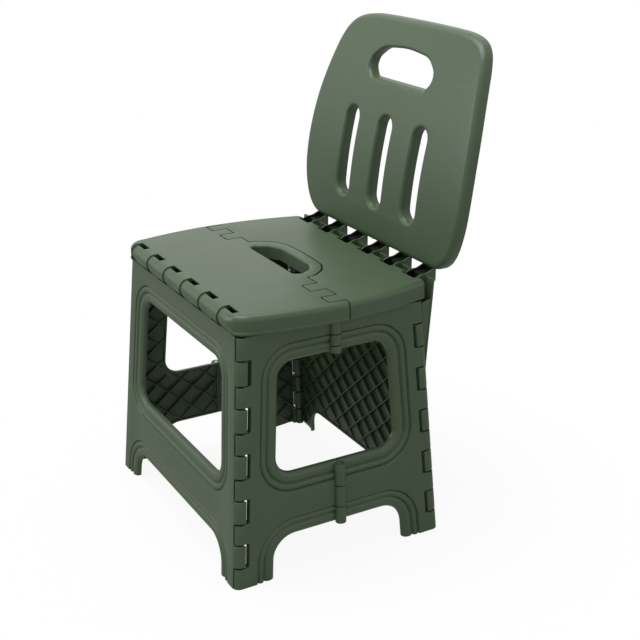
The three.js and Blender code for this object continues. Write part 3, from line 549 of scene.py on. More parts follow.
# The corner axis in a panel's frame, which leans across the panel as its edge does.
def cornerMatrix(half):
    reach = spread(half, seatHeight) - stool["cornerInset"] * math.cos(lean)
    turn = turning(math.atan(math.sin(lean)), "Z")
    return shifting(reach, 0, -stool["cornerInset"]) @ turn @ alongY


# From the end of the round corner back to a reach, sinking into the face.
def blend(reach):
    return [[x, stool["cornerInset"] - sink] for x, sink in (*hook["blend"], (-reach, hook["sink"]))]


# A hook: from the panel's face round the corner, with its eye and the tail along the side.
def hookProfile():
    inset, eye, tail = stool["cornerInset"], hook["eye"], hook["tail"]
    return counterClockwise(np.concatenate([
        arc(0, 0, eye, 180, 360, 16),
        [[inset - tail, 0], [inset - tail, -tail]],
        arc(inset - tail / 2, -tail, tail / 2, 180, 360, 7),
        arc(0, 0, inset, 0, hook["turn"], 14),
        blend(eye),
    ]))


# A knuckle of the side: from its plate round the corner to the seam, with its eye.
def knuckleProfile():
    inset, eye, reach = stool["cornerInset"], hook["eye"], hook["knuckleReach"]
    low = inset - stool["panelDepth"]
    seam = inset - stool["seamInset"] + plate["seamGap"]
    return counterClockwise(np.concatenate([
        [[-reach, low], [-eye, low]],
        arc(0, 0, eye, 180, 360 + math.degrees(math.asin(seam / eye)), 18),
        arc(0, 0, inset, math.degrees(math.asin(seam / inset)), hook["turn"], 8),
        blend(reach),
    ]))


# A profile pulled down a corner's axis over each span of depths.
def cornerBars(profile, half, spans, edge):
    shell = Shell()
    trim = hook["trim"]
    for start, end in spans:
        shell.join(bar(profile, -upSlope(start + trim), -upSlope(end - trim), edge), cornerMatrix(half))
    return shell


# The lattice behind the plates: pitch, slope and lower level of each family of ribs.
lattice = {
    "families": ((24.0, 0.86, 8.3), (22.0, -0.86, 8.1)),
    "half": 0.65, "shortest": 5, "top": 27.0, "foot": 4.0,
    "skinSink": 0.4, "mouldingLevel": 4.4, "openingEdge": 1.2,
}


# Diagonal ribs up to a level, where a test says inside.
def ribShell(inside, width, high):
    shell = Shell()
    reach = math.hypot(width, seatHeight)
    steps = np.arange(-reach, reach, 1.0)
    for pitch, slope, low in lattice["families"]:
        along = np.array([1, slope]) / math.hypot(1, slope)
        across = np.array([-along[1], along[0]])
        count = int(reach / pitch)
        for i in range(-count, count + 1):
            line = np.array([0, seatHeight / 2]) + across * i * pitch + along * steps[:, None]
            kept = inside(line[:, 0], line[:, 1])
            slabs(shell, line, across * lattice["half"], kept, (-low, -high), lattice["shortest"])
    return shell


# The depth of a point up a panel's slope, and whether points lie inside the panel's edges.
def depthAt(y):
    return seatHeight - y * math.cos(lean)


def insideEdges(x, y, half, inset):
    return (np.abs(x) < spread(half, depthAt(y)) - inset) & (depthAt(y) > lattice["top"]) & (y > lattice["foot"])


# How far points lie outside a window, or an arch: the larger of the distances beside it and above or below it.
def fromWindow(x, y, half, stile, window):
    depth = depthAt(y)
    beside = np.abs(x) - (spread(half, depth) - stile)
    return np.maximum(beside, np.maximum(window[0] - depth, depth - window[1]))


def fromArch(x, y, half, leg, top):
    depth = depthAt(y)
    beside = np.abs(x) - (spread(half, depth) - leg)
    return np.maximum(beside, top - depth)


# Ribs reach the plain skin away from the openings, and only the moulding's back near them.
def latticeShell(half, margin, distance):
    edge = moulding["width"] + 1

    def away(x, y):
        return insideEdges(x, y, half, margin) & (distance(x, y) > edge)

    def near(x, y):
        out = distance(x, y)
        return insideEdges(x, y, half, margin) & (out <= edge + 1) & (out > lattice["openingEdge"])

    shell = ribShell(away, 2 * half, stool["skin"] - lattice["skinSink"])
    shell.join(ribShell(near, 2 * half, lattice["mouldingLevel"]))
    return shell


# The outline of the front and rear plates, with the arch between their legs.
def frontCorners(top):
    low, arch, leg = seatHeight + plate["belowFloor"], plate["frontArch"], plate["frontLeg"]

    def corner(side, inset, depth, radius, opening=False):
        return side * acrossAt(stool["sideFace"], inset, depth), upSlope(depth), radius, opening

    return [
        corner(-1, stool["seamInset"], low, 0),
        corner(-1, leg, low, 0, True),
        corner(-1, leg, arch, plate["archRound"], True),
        corner(1, leg, arch, plate["archRound"], True),
        corner(1, leg, low, 0),
        corner(1, stool["seamInset"], low, 0),
        corner(1, stool["seamInset"], top, plate["topRound"]),
        corner(-1, stool["seamInset"], top, plate["topRound"]),
    ]


frontPlace = panelMatrix(0, stool["frontFace"])
rearPlace = panelMatrix(math.pi, stool["frontFace"])

# Where a knuckle ends below its rod, the round part's radius and angles, and the step under the seat's edge.
frontKnuckle = {
    "root": 23.0, "radius": 10.3, "start": 99.0, "end": 222.0, "edge": 0.7, "inner": (1.2, 8.0),
    "step": (21.2, 22.0), "proud": 0.3, "sunk": 0.9,
}


# A knuckle of the front panel, as (y, z): flush with the seat's round edge, with its eye round the rod.
def frontKnuckleProfile():
    y, z = -stool["frontRodReach"], up(stool["frontRodDepth"])
    root = stool["frontRodDepth"] + frontKnuckle["root"]
    inner = -spread(stool["frontFace"], root) + stool["panelDepth"]
    high, low = frontKnuckle["step"]
    sunk = frontKnuckle["sunk"]
    return counterClockwise(np.concatenate([
        [[inner, up(root)], [inner + frontKnuckle["inner"][0], z - frontKnuckle["inner"][1]], [y + hook["eye"], z]],
        arc(y, z, hook["eye"], 0, 88, 8),
        arc(y, z, frontKnuckle["radius"], frontKnuckle["start"], frontKnuckle["end"], 20),
        [[-spread(stool["frontFace"], high) - frontKnuckle["proud"], up(high)]],
        [[-spread(stool["frontFace"], low) + sunk, up(low)], [-spread(stool["frontFace"], root) + sunk, up(root)]],
    ]))


# A plate with its lattice and hooks, cut at the floor and put in its place.
def hookedPanel(top, holes, distance, place):
    side = stool["sideFace"]
    face = cutAtFloor(plateShell(frontCorners(top), holes), place)
    face.join(latticeShell(side, plate["frontMargin"], distance))
    hooks = cornerBars(hookProfile(), side, hookSpans(), hook["edge"])
    face.join(hooks)
    face.join(hooks, mirror)
    shell = Shell()
    shell.join(face, place)
    return shell


# The same profile at all six knuckles.
def knuckles(shell, profile, edge):
    half = stool["knuckleHalf"]
    for x in knucklePlaces:
        shell.join(bar(profile, x - half, x + half, edge), alongX)


# Distance outside the arch of the front or rear panel, and outside the front panel's arch and window.
def fromFrontArch(x, y):
    return fromArch(x, y, stool["sideFace"], plate["frontLeg"], plate["frontArch"])


def fromFrontOpenings(x, y):
    window = fromWindow(x, y, stool["sideFace"], plate["frontStile"], plate["frontWindow"])
    return np.minimum(fromFrontArch(x, y), window)


# The front panel: a hooked plate with a window, and its knuckles.
def frontPanel():
    window = windowLoop(stool["sideFace"], plate["frontStile"], plate["frontWindow"], plate["windowRound"])
    shell = hookedPanel(plate["frontTop"], [window], fromFrontOpenings, frontPlace)
    knuckles(shell, frontKnuckleProfile(), frontKnuckle["edge"])
    return shell


# How far the painted-shade sheet lies behind the seam, and its top and bottom from the corner's axis.
seamShadeSheet = {"near": 0.1, "far": 0.5, "low": 1.5, "high": 8.3}


# A near-black sheet of painted shade on the hidden side of the seam between the front face and the side's knuckles,
# all down both corners.
def seamPaintedShade():
    side = stool["cornerInset"] - stool["seamInset"]
    near, far = side - seamShadeSheet["near"], side + seamShadeSheet["far"]
    low, high = seamShadeSheet["low"], seamShadeSheet["high"]
    spans = [(start, min(end, seatHeight - 1)) for start, end in knuckleSpans()]  # clear of the floor
    shadeSheet = np.array([(near, low), (far, low), (far, high), (near, high)])
    bars = cornerBars(shadeSheet, stool["sideFace"], spans, 0.05)
    shell = Shell()
    shell.join(bars, frontPlace)
    shell.join(bars, frontPlace @ mirror)
    return shell


makePiece("frontPanel", frontPanel(), "front_frame", ["front_leg_panel"], green)
makePiece("seamPaintedShade", seamPaintedShade(), "front_frame", ["front_leg_panel"], paintedShade)

# The flare at the top of the rear panel: its line as (depth, distance out from the leaning face).
flare = {
    "line": ((125, 0.0), (112, 1.0), (84, 4.6), (54, 8.9), (28, 12.7), (14, 14.6), (1, 16.3)),
    "skin": 2.5, "half": 153.0, "edge": 1.0, "rib": 1.8, "ribEdge": 0.3, "ribOffset": 13.8,
    "ribRoot": ((27, 2), (100, 2)), "ribBack": 3.0, "ribSkips": (2, 9),  # points of the line left out at its ends
}
rearKnuckle = {
    "root": 23.0, "shoulder": 20.0, "heel": (4.8, 4.6), "radius": 4.6, "start": -20.0, "end": 180.0, "foot": 6.0,
    "edge": 0.6,
}


# The outer face of the flare: out from the leaning plate along a soft curve, as (y, z).
def flareLine():
    points = np.array([(spread(stool["frontFace"], depth) + out, up(depth)) for depth, out in flare["line"]])
    return smoothCurve(points, 5)


# The flare's skin, and the ribs behind it beside each arm and at both ends.
def flareShell(shell):
    line = flareLine()
    half, thick = flare["half"], flare["rib"]
    skin = counterClockwise(np.concatenate([line, line[::-1] - [flare["skin"], 0]]))
    shell.join(bar(skin, -half, half, flare["edge"]), alongX)
    low, high = flare["ribSkips"]
    ribLine = line[:-high] - [flare["skin"] / 2, 0]
    root = [[spread(stool["frontFace"], depth) - inset, up(depth)] for depth, inset in flare["ribRoot"]]
    rib = counterClockwise(np.concatenate([ribLine[low:], [ribLine[-1] - [flare["ribBack"], 0]], root]))
    beside = [knucklePlaces - flare["ribOffset"], knucklePlaces + flare["ribOffset"]]
    for x in np.concatenate([*beside, [-half + thick, half - thick]]):
        shell.join(bar(rib, x - thick / 2, x + thick / 2, flare["ribEdge"]), alongX)


# A knuckle of the rear panel, as (y, z): low enough to turn under the seat's skin.
def rearKnuckleProfile():
    y, z = stool["rearRodReach"], up(stool["rearRodDepth"])
    face, root, radius = stool["frontFace"], stool["rearRodDepth"] + rearKnuckle["root"], rearKnuckle["radius"]
    shoulder, heel = rearKnuckle["shoulder"], rearKnuckle["heel"]
    return counterClockwise(np.concatenate([
        [[spread(face, root) - stool["panelDepth"], up(root)], [spread(face, root), up(root)]],
        [[spread(face, shoulder), up(shoulder)], [y + heel[0], z - heel[1]]],
        arc(y, z, radius, rearKnuckle["start"], rearKnuckle["end"], 15),
        [[y - radius, z - rearKnuckle["foot"]]],
    ]))


# The rear panel: a hooked plate without a window, the flare above it, and its knuckles.
def rearPanel():
    shell = hookedPanel(plate["rearTop"], [], fromFrontArch, rearPlace)
    flareShell(shell)
    knuckles(shell, rearKnuckleProfile(), rearKnuckle["edge"])
    return shell


makePiece("rearPanel", rearPanel(), "rear_frame", ["rear_leg_panel"], green)

# The barrels between a side's halves: depths where one ends and the next starts, above and below the window.
sideHinge = {
    "upper": (24.6, 39.6, 53.0, 62.0), "lower": (196.0, 224.0, 250.0, 272.0),
    "proud": 0.6, "radius": 6.5, "gap": 0.5, "edge": 0.6,
}


# One half of a side plate, towards +X of its frame, with castellations at the corner for the hooks to turn in.
def sideCorners():
    gap, low = plate["halfGap"], seatHeight + plate["belowFloor"]
    arch, top = plate["sideArch"], plate["sideTop"]
    windowTop, windowLow = plate["sideWindow"]
    outer, slot = stool["cornerInset"] - plate["sideTrim"], stool["cornerInset"] + plate["slotReach"]

    def corner(inset, depth, radius, opening=False):
        return acrossAt(stool["frontFace"], inset, depth), upSlope(depth), radius, opening

    corners = [
        (gap, upSlope(arch), 0, True),
        corner(plate["sideLeg"], arch, plate["archRound"], True),
        corner(plate["sideLeg"], low, 0),
        corner(outer, low, 0),
    ]
    for start, end in reversed(hookSpans()):
        start, end = start - hook["gap"], end + hook["gap"]
        corners += [
            corner(outer, end, 0),
            corner(slot, end, plate["slotRound"]),
            corner(slot, start, plate["slotRound"]),
            corner(outer, start, 0),
        ]
    return corners + [
        corner(outer, top, plate["topRound"]),
        (gap, upSlope(top), 0, False),
        (gap, upSlope(windowTop), 0, True),
        corner(plate["sideStile"], windowTop, plate["windowRound"], True),
        corner(plate["sideStile"], windowLow, plate["windowRound"], True),
        (gap, upSlope(windowLow), 0, False),
    ]


# Distance outside the side's openings, and none on the other half.
def fromSideOpenings(x, y):
    face = stool["frontFace"]
    arch = fromArch(x, y, face, plate["sideLeg"], plate["sideArch"])
    window = fromWindow(x, y, face, plate["sideStile"], plate["sideWindow"])
    return np.where(x > plate["ribStart"], np.minimum(arch, window), 0)


# One half of a side, turned about Z: a plate with its ribs and corner knuckles, mirrored where its corner is at -X
# of its frame, cut at the floor, with its own barrels of the hinge between the halves.
def sideHalf(turn, end, barrels):
    place = panelMatrix(turn, stool["sideFace"])
    shell = plateShell(sideCorners(), [])
    shell.join(latticeShell(stool["frontFace"], plate["sideMargin"], fromSideOpenings))
    shell.join(cornerBars(knuckleProfile(), stool["frontFace"], knuckleSpans(), hook["knuckleEdge"]))
    shell = cutAtFloor(shell, place)
    whole = Shell()
    whole.join(shell, mirror if end < 0 else None)
    spans = [span for depths in (sideHinge["upper"], sideHinge["lower"]) for span in zip(depths, depths[1:])]
    barrel = arc(0, 0, sideHinge["radius"], 0, 345, 24)
    barrelPlace = shifting(0, 0, sideHinge["proud"]) @ alongY
    gap = sideHinge["gap"]
    for start, finish in (spans[i] for i in barrels):
        whole.join(bar(barrel, -upSlope(start + gap), -upSlope(finish - gap), sideHinge["edge"]), barrelPlace)
    placed = Shell()
    placed.join(whole, place)
    return placed


frontBarrels, rearBarrels = (0, 2, 3, 5), (1, 4)  # counted from the top
rightTurn, leftTurn = math.pi / 2, -math.pi / 2
makePiece("rightSideRear", sideHalf(rightTurn, 1, rearBarrels), "right_rear_side", ["right_side_rear_half"], green)
makePiece("rightSideFront", sideHalf(rightTurn, -1, frontBarrels), "right_front_side", ["right_side_front_half"],
          green)
makePiece("leftSideRear", sideHalf(leftTurn, -1, rearBarrels), "left_rear_side", ["left_side_rear_half"], green)
makePiece("leftSideFront", sideHalf(leftTurn, 1, frontBarrels), "left_front_side", ["left_side_front_half"], green)

# Seat

seat = {
    "halfWide": 169.0, "endWide": 157.0, "endReach": 100.5, "reach": 124.5,
    "frontCorner": (100.5, 25.0), "rearCorner": (114.0, 9.0),  # where a corner starts, and its radius across
    "notchHalf": 12.2, "frontNotch": 108.0, "rearNotch": 114.6, "notchDeep": 3.4, "notchSlope": 2.4,
    "fingers": (159.5, 141.0, 119.5, 98.0), "fingerReach": 10.0, "fingerRound": 1.2, "gap": 1.6,
    "seamEnd": 11.0, "endRound": 0.8, "endClear": 0.9, "handleRound": 1.0,
    "handle": ((75, 19, 16), (62, 37, 24), (44, 46.5, 24), (12, 48.5, 0)),
    "slot": ((-57, 2, 5), (57, 2, 5), (59, 11, 4), (51, 26, 12), (35, 34, 8), (-35, 34, 8), (-51, 26, 12),
             (-59, 11, 4)),
    "slotEdge": 3.0, "slotDepth": 17.0, "slotWall": 2.6,
    "skin": 3.0, "skirt": 21.6, "edge": 7.0, "seamEdge": 0.4,
    "frontRound": (11.5, 11.5), "rearRound": (6.0, 17.0),  # radii of the round ends, upper and lower
    "lowEdge": (0.4, 0.6, 1.2),  # roundings under a notch's wall, the seam and the side
    "rim": (0.7, 0.7, 3.6), "endRim": 2.6, "notchRim": 0.2, "rimClear": 0.3,  # widths of the rim below
    "bead": 0.7, "beadStart": 2.4, "beadNotch": 0.2, "beadShare": 0.75,
}


# Half the seat's width: it narrows with the square of the distance from the middle.
def bow(y):
    return seat["halfWide"] - (seat["halfWide"] - seat["endWide"]) * (y / seat["endReach"]) ** 2


# The seam from the right side edge to the left one, moved by grow towards the rear half: the end, three fingers,
# the handle, and the same mirrored.
def seamPoints(grow):
    low, high = grow - seat["fingerReach"], grow + seat["fingerReach"]
    last, third, second, first = seat["fingers"]
    end, tip = seat["seamEnd"] + grow, seat["fingerRound"]
    points = [(bow(seat["seamEnd"]), end, 0), (last - grow, end, seat["endRound"]), (last - grow, low, tip)]
    for x, near, far in ((third + grow, low, high), (second - grow, high, low), (first + grow, low, high)):
        points += [(x, near, tip), (x, far, tip)]
    *bends, middle = seat["handle"]
    points.append((bends[0][0] + grow, high, seat["handleRound"]))
    points += [(x + grow, y + grow, radius) for x, y, radius in bends]
    points.append((middle[0], middle[1] + grow, 0))
    return points + [(-x, y, radius) for x, y, radius in reversed(points)]


# One corner and the side of the seat, from the end of the last notch to the seam, for the half on side end of Y.
# The corner is a quarter ellipse. The second array says how much each edge belongs to the round end: 2 wholly,
# 1 not at all.
def sidePoints(end):
    last = knucklePlaces[-1] + seat["notchHalf"]
    cornerReach, cornerWide = seat["frontCorner"] if end < 0 else seat["rearCorner"]
    middle = bow(cornerReach) - cornerWide
    rise = seat["reach"] - cornerReach
    start = math.asin(max(0, (last - middle) / cornerWide))
    angle = np.linspace(start, math.pi / 2, 13)
    corner = np.stack([middle + cornerWide * np.sin(angle), cornerReach + rise * np.cos(angle)], axis=1)
    share = np.interp(np.arange(13), [0, 3], [1.6, 1])
    if last < middle:
        corner = np.concatenate([[[last, seat["reach"]]], corner])
        share = np.concatenate([[2], share])
    y = np.linspace(cornerReach, 0, 15)[1:-1]
    points = np.concatenate([corner, np.stack([bow(y), y], axis=1)])
    share = np.concatenate([share, np.ones(len(y))])
    keep = points[:, 1] > (seat["seamEnd"] + seat["endClear"] if end > 0 else -seat["seamEnd"])
    return points[keep] * [1, end], share[keep]


# The six notches along one end, from left to right.
def notchPoints(end, reach):
    half, outer, inner = seat["notchHalf"], end * seat["reach"], end * reach
    points = [[(x - half, outer), (x - half, inner), (x + half, inner), (x + half, outer)] for x in knucklePlaces]
    return np.concatenate(points)


# After the first inner corner of a notch: floor, wall, round end, wall, and so on to the last wall.
notchKinds = [-2, -1, 2, -1] * 5 + [-2, -1]


# The plan of one half, counter-clockwise, with what each edge is: -2 the floor of a notch, -1 its walls, 0 seam,
# 1 side, 2 round end.
def seatLoop(end):
    seam = roundedLoop(seamPoints(end * seat["gap"] / 2), 5)
    notch = notchPoints(end, seat["frontNotch"] if end < 0 else seat["rearNotch"])[1:-1]
    side, share = sidePoints(end)
    other = side * [-1, 1]
    if end < 0:
        loop = np.concatenate([other[:1], notch, side, seam, other[:0:-1]])
    else:
        loop = np.concatenate([side[:1], notch[::-1], other, seam[::-1], side[:0:-1]])
    kinds = np.concatenate([[-1], notchKinds, share, np.zeros(len(seam) - 1), [1], share[:0:-1]])
    return loop, kinds


# The handle's slot: a rounded edge, a wall, and its rim below.
def slotRing():
    deep, wall = seat["slotDepth"], seat["slotWall"]
    rows = np.concatenate([quarterRound(seat["slotEdge"], 7, 1), [(0, -deep), (wall, -deep), (wall, -seat["skin"])]])
    return carried(roundedLoop(seat["slot"], 8), rows)


# One half of the seat: round its plan go the top's rounding, a small step for the bead, the lower rounding and the
# rim. Each radius follows from the kind of edge, and each level from the kinds on both sides of a point.
def seatHalf(end):
    loop, kinds = seatLoop(end)
    roundTop, roundLow = seat["frontRound"] if end < 0 else seat["rearRound"]
    sweep = math.asin((seat["skirt"] - roundTop) / roundLow)
    room = seat["reach"] - (seat["frontNotch"] if end < 0 else seat["rearNotch"]) - seat["rimClear"]
    endRim = min(roundLow * (1 - math.cos(sweep)) + seat["endRim"], room)
    pointKinds = np.maximum(kinds, np.roll(kinds, 1))
    slope = seat["notchSlope"]

    # Values for the kinds from -2 to 2; the first stands in for those that are left out.
    def byKind(kind, *values):
        return np.interp(kind, [-2, -1, 0, 1, 2], [values[0]] * (5 - len(values)) + list(values))

    topRadius, topDrop = (byKind(kind, seat["seamEdge"], seat["edge"], roundTop) for kind in (kinds, pointKinds))
    turn, pointTurn = (byKind(kind, math.pi / 2, math.pi / 2, sweep) for kind in (kinds, pointKinds))
    lowRadius = byKind(kinds, slope, *seat["lowEdge"], roundLow)
    lowDrop = byKind(pointKinds, slope, slope, *seat["lowEdge"][1:], roundLow)
    rim = -byKind(kinds, slope + seat["notchRim"], *seat["rim"], endRim)
    bead = byKind(kinds, 0, seat["bead"], 0)
    beadDrop = byKind(pointKinds, seat["beadNotch"], seat["beadStart"], 0)
    skirt = -np.where(pointKinds < 0, seat["notchDeep"], seat["skirt"])
    share = np.linspace(0, 1, 8)[:, None]
    low = skirt + lowDrop * (np.sin(pointTurn) - np.sin(share * pointTurn))
    distances = np.concatenate([
        -topRadius * (1 - np.sin(share * math.pi / 2)),
        [bead * 0, bead],
        bead - lowRadius * (1 - np.cos(share * turn)),
        [rim, rim],
    ])
    levels = np.concatenate([
        -topDrop * (1 - np.cos(share * math.pi / 2)),
        [low[0] + beadDrop, low[0] + beadDrop * seat["beadShare"]],
        low,
        [skirt, np.full(len(loop), -seat["skin"])],
    ])
    shell = Shell()
    shell.closed([profiled(loop, distances, levels)] + ([slotRing()] if end < 0 else []))
    placed = Shell()
    placed.join(shell, shifting(0, 0, seatHeight))
    return placed


# The place of the painted-shade rib behind the front seat rod, and its size.
notchShadeSheet = {"behindRod": 11.0, "thick": 1.0, "top": 2.9, "foot": 20.0, "half": 138.0}


# A near-black rib of painted shade under the seat's skin, behind the front notches, that clears the turning
# knuckles.
def notchPaintedShade():
    near = notchShadeSheet["behindRod"] - stool["frontRodReach"]
    far, top, foot = near + notchShadeSheet["thick"], up(notchShadeSheet["top"]), up(notchShadeSheet["foot"])
    shadeSheet = counterClockwise([(near, top), (near, foot), (far, foot), (far, top)])
    shell = Shell()
    shell.join(bar(shadeSheet, -notchShadeSheet["half"], notchShadeSheet["half"], 0.1), alongX)
    return shell


makePiece("seatFront", seatHalf(-1), "seat_front", ["seat_front_half"], green)
makePiece("notchPaintedShade", notchPaintedShade(), "seat_front", ["seat_front_half"], paintedShade)
makePiece("seatRear", seatHalf(1), "seat_rear", ["seat_rear_half"], green)

# Back

back = {
    "foot": 142.2, "slope": -0.007, "curve": 1185.0, "thick": 15.0, "skin": 3.4, "edge": 6.5, "wall": 3.0,
    # Half of the outline, from the foot up to the top: (reach across, height above the seat).
    "outline": ((134, 3.6), (146, 7.5), (157, 16.5), (165.5, 30), (171.6, 48), (175.2, 70), (175.8, 100), (174, 130),
                (170.4, 160), (164.8, 188), (157.6, 216), (151.8, 234), (143, 249.4), (128, 260), (104, 265.5),
                (70, 267.1), (30, 267.6), (0, 267.7)),
    "grip": ((-56, 195.5, 10), (56, 195.5, 10), (72.5, 212, 12), (49, 231.5, 38), (0, 236, 200), (-49, 231.5, 38),
             (-72.5, 212, 12)),
    "gripHalf": 72.0, "gripLow": 193.0, "gripHigh": 238.0,
    "slotPitch": 75.0, "slotLow": 45.5, "slotHigh": 156.5, "slotHalf": 13.8, "slotEdge": 5.2, "slotWall": 2.6,
    "ribHeights": 33.0, "ribsAcross": (-150, -112, -75, -37.5, 0, 37.5, 75, 112, 150), "ribHalf": 0.9,
    "ribMargin": 4.0, "slotMargin": 2.0, "ribInset": 1.5, "ribSink": 0.5,
}


# How far back the face is at a height: a straight lean plus the height's square over the curve.
def backFace(height):
    return back["foot"] + back["slope"] * height + height ** 2 / back["curve"]


# The ribs behind the board: upright and level lines, kept inside the outline and off the slots and the grip.
def boardRibs(shell):
    steps = np.arange(-300, 300, 1.0)[:, None]
    lines = [((-1.0, 0.0), (0.0, height)) for height in np.arange(back["ribHeights"], 268, back["ribHeights"])]
    lines += [((0.0, 1.0), (x, 0.0)) for x in back["ribsAcross"]]
    reaches, heights = np.array(back["outline"]).T
    margin = back["slotMargin"]
    for along, middle in lines:
        line = np.array(middle) + np.array(along) * steps
        x, y = line.T
        kept = np.abs(x) < np.interp(y, heights, reaches, left=0, right=0) - back["ribMargin"]
        for place in (-back["slotPitch"], 0, back["slotPitch"]):
            kept &= ((np.abs(x - place) >= back["slotHalf"] + margin) | (y <= back["slotLow"] - margin)
                     | (y >= back["slotHigh"] + margin))
        kept &= (np.abs(x) >= back["gripHalf"]) | (y <= back["gripLow"]) | (y >= back["gripHigh"])
        across = np.array([-along[1], along[0]]) * back["ribHalf"]
        slabs(shell, line, across, kept, (back["ribInset"] - back["thick"], back["ribSink"] - back["skin"]))


# The board drawn flat: a rounded rim with a hollow behind it, three slots and the grip, and its ribs.
def flatBoard():
    edge, thick, wall, skin = back["edge"], back["thick"], back["wall"], back["skin"]
    right = smoothCurve(back["outline"], 4)
    rows = np.concatenate([quarterRound(edge, 9), [
        (0, 1 - thick), (-0.3, 0.3 - thick), (-1, -thick), (-wall, -thick), (-wall, -edge - 1), (-edge, -skin)]])
    rings = [carried(np.concatenate([right, right[-2::-1] * [-1, 1]]), rows)]
    half = back["slotHalf"]
    low, high = back["slotLow"] + half, back["slotHigh"] - half
    holes = [np.concatenate([arc(x, low, half, 180, 360, 13), arc(x, high, half, 0, 180, 13)])
             for x in (-back["slotPitch"], 0, back["slotPitch"])]
    rows = np.concatenate([quarterRound(back["slotEdge"], 9, 1), [
        (0, 0.8 - thick), (0.8, -thick), (back["slotWall"], -thick), (back["slotWall"], -skin)]])
    rings += [carried(hole, rows) for hole in holes + [roundedLoop(back["grip"], 14)]]
    shell = Shell()
    shell.closed(rings)
    boardRibs(shell)
    return shell


# Slices the flat board every few millimetres of its height, and bends it: each point moves back by a square law.
def bentBoard(shell):
    def sliced(work):
        for height in np.arange(12, 264, 9):
            whole = work.verts[:] + work.edges[:] + work.faces[:]
            bmesh.ops.bisect_plane(work, geom=whole, plane_co=(0, height, 0), plane_no=(0, 1, 0), dist=0.0001)

    made = changed(shell, sliced)
    x, height, level = made.points[0].T
    made.points = [np.stack([x, backFace(height) - level, seatHeight + height], axis=1)]
    return made


arm = {
    "half": 11.6, "wall": 1.5, "front": 119.9, "rear": 147.0, "deep": 30.0, "edge": 0.5, "room": 0.1,
    "waist": 23.0, "heel": 9.0,  # depths where it leaves the flare's outer face and reaches its rear
    # The S-shaped rim: (reach back, height above the seat).
    "top": ((119.9, -1.8), (122.5, 0.2), (126.5, 1.5), (131, 1.9), (135, 2.4), (139, 4.0), (143, 5.6), (147, 6.4)),
}


# Where the inner side of the flare is at a depth, with a little room.
def insideFlare(depth):
    y, z = flareLine()[::-1].T
    return np.interp(depth, seatHeight - z, y) - flare["skin"] - arm["room"]


# The outline of an arm's side wall, as (y, z), its rim lowered by drop.
def armWall(drop):
    deep, waist = arm["deep"], arm["waist"]
    rim = smoothCurve([(y, seatHeight + z - drop) for y, z in arm["top"]], 5)
    low = [(arm["rear"], up(arm["heel"])), (insideFlare(waist) + flare["skin"], up(waist)),
           (insideFlare(deep), up(deep)), (arm["front"], up(deep))]
    return counterClockwise(np.concatenate([rim, low]))


# The curved board on its six open arms, each two thin side walls under an S-shaped rim.
def backrest():
    board = bentBoard(flatBoard())
    half, inner = arm["half"], arm["half"] - arm["wall"]
    walls = Shell()
    walls.join(bar(armWall(0), -half, -inner, arm["edge"]), alongX)
    walls.join(bar(armWall(0), inner, half, arm["edge"]), alongX)
    for x in knucklePlaces:
        board.join(walls, shifting(x, 0, 0))
    return board


# The near-black sheets of painted shade in an arm's hollow: rim below the arm's own, skin on the walls, and the
# places of its other sheets.
hollowShade = {
    "rim": 0.9, "proud": 0.2, "sunk": 0.3, "sheet": 1.1, "gap": 0.4, "inset": 1.0, "thick": 0.8, "edge": 0.1,
    # Over the flare's top edge, as (reach from the flare's inner side, depth), then down behind it.
    "over": ((3.4, 0.1), (-1.0, 0.3), (-1.4, 1.2)), "overStart": 0.4, "flareDepth": 3.0,
    "rear": (-6.0, 2.0), "front": (6.0, 30.0),  # depths between which the rear and front sheets stand
}


# An upright sheet between two reaches, over a span of depths, as (y, z).
def sheetProfile(near, far, span):
    high, low = span
    return counterClockwise([(near, up(low)), (far, up(low)), (far, up(high)), (near, up(high))])


# Painted shade as near-black sheets in the arms' hollows: on both walls, behind, in front, and along the flare
# below.
def armHollowShade():
    inner, deep, gap, thick = arm["half"] - arm["wall"], arm["deep"], hollowShade["gap"], hollowShade["thick"]
    proud, sunk = hollowShade["proud"], hollowShade["sunk"]
    top = insideFlare(hollowShade["flareDepth"])
    over = [(arm["rear"], up(hollowShade["overStart"]))] + [(top + reach, up(depth)) for reach, depth in hollowShade["over"]]
    over.append((insideFlare(deep) + hollowShade["over"][-1][0], up(deep)))
    under = [(y + thick, z - thick) for y, z in reversed(over)]
    rear, front = arm["rear"] - gap, arm["front"] + gap
    sheets = [counterClockwise(over + under), sheetProfile(rear - hollowShade["sheet"], rear, hollowShade["rear"]),
              sheetProfile(front, front + hollowShade["sheet"], hollowShade["front"])]
    shadeSheet = armWall(hollowShade["rim"])
    one = Shell()
    one.join(bar(shadeSheet, -inner - sunk, proud - inner, hollowShade["edge"]), alongX)
    one.join(bar(shadeSheet, inner - proud, inner + sunk, hollowShade["edge"]), alongX)
    half = arm["half"] - hollowShade["inset"]
    for sheet in sheets:
        one.join(bar(sheet, -half, half, hollowShade["edge"]), alongX)
    shell = Shell()
    for x in knucklePlaces:
        shell.join(one, shifting(x, 0, 0))
    return shell


makePiece("backrestBoard", backrest(), "rear_frame", ["backrest"], green)
makePiece("armHollowShade", armHollowShade(), "rear_frame", ["backrest"], paintedShade)

# Setting

setting = {
    "camera": (1.1993, -0.6161 + shiftY * 0.001, 0.7755),
    "azimuth": 60.244,  # degrees
    "elevation": 21.586,
    "roll": 0.12,
    "lens": 66.50,
    "sensor": 36.0,
    "floorHalf": 12.0,
    "floor": (0.8, 0.8, 0.8, 1.0),
    "white": (1.0, 1.0, 1.0, 1.0),
    "shadowReach": (0.2, 0.48),  # metres from the middle over which the floor turns from nearGlow to full white
    "nearGlow": 0.92,
    "reflectedFloor": 0.42,
    "ambient": 0.6,
    "aim": (0.0, 0.0, 0.28),
    "lights": {  # place, width and height, watts
        "overhead": ((-0.3, -0.3, 2.4), (1.6, 1.6), 38.0),
        "frontSoft": ((-1.5, -2.4, 1.3), (1.4, 1.4), 20.0),
    },
}


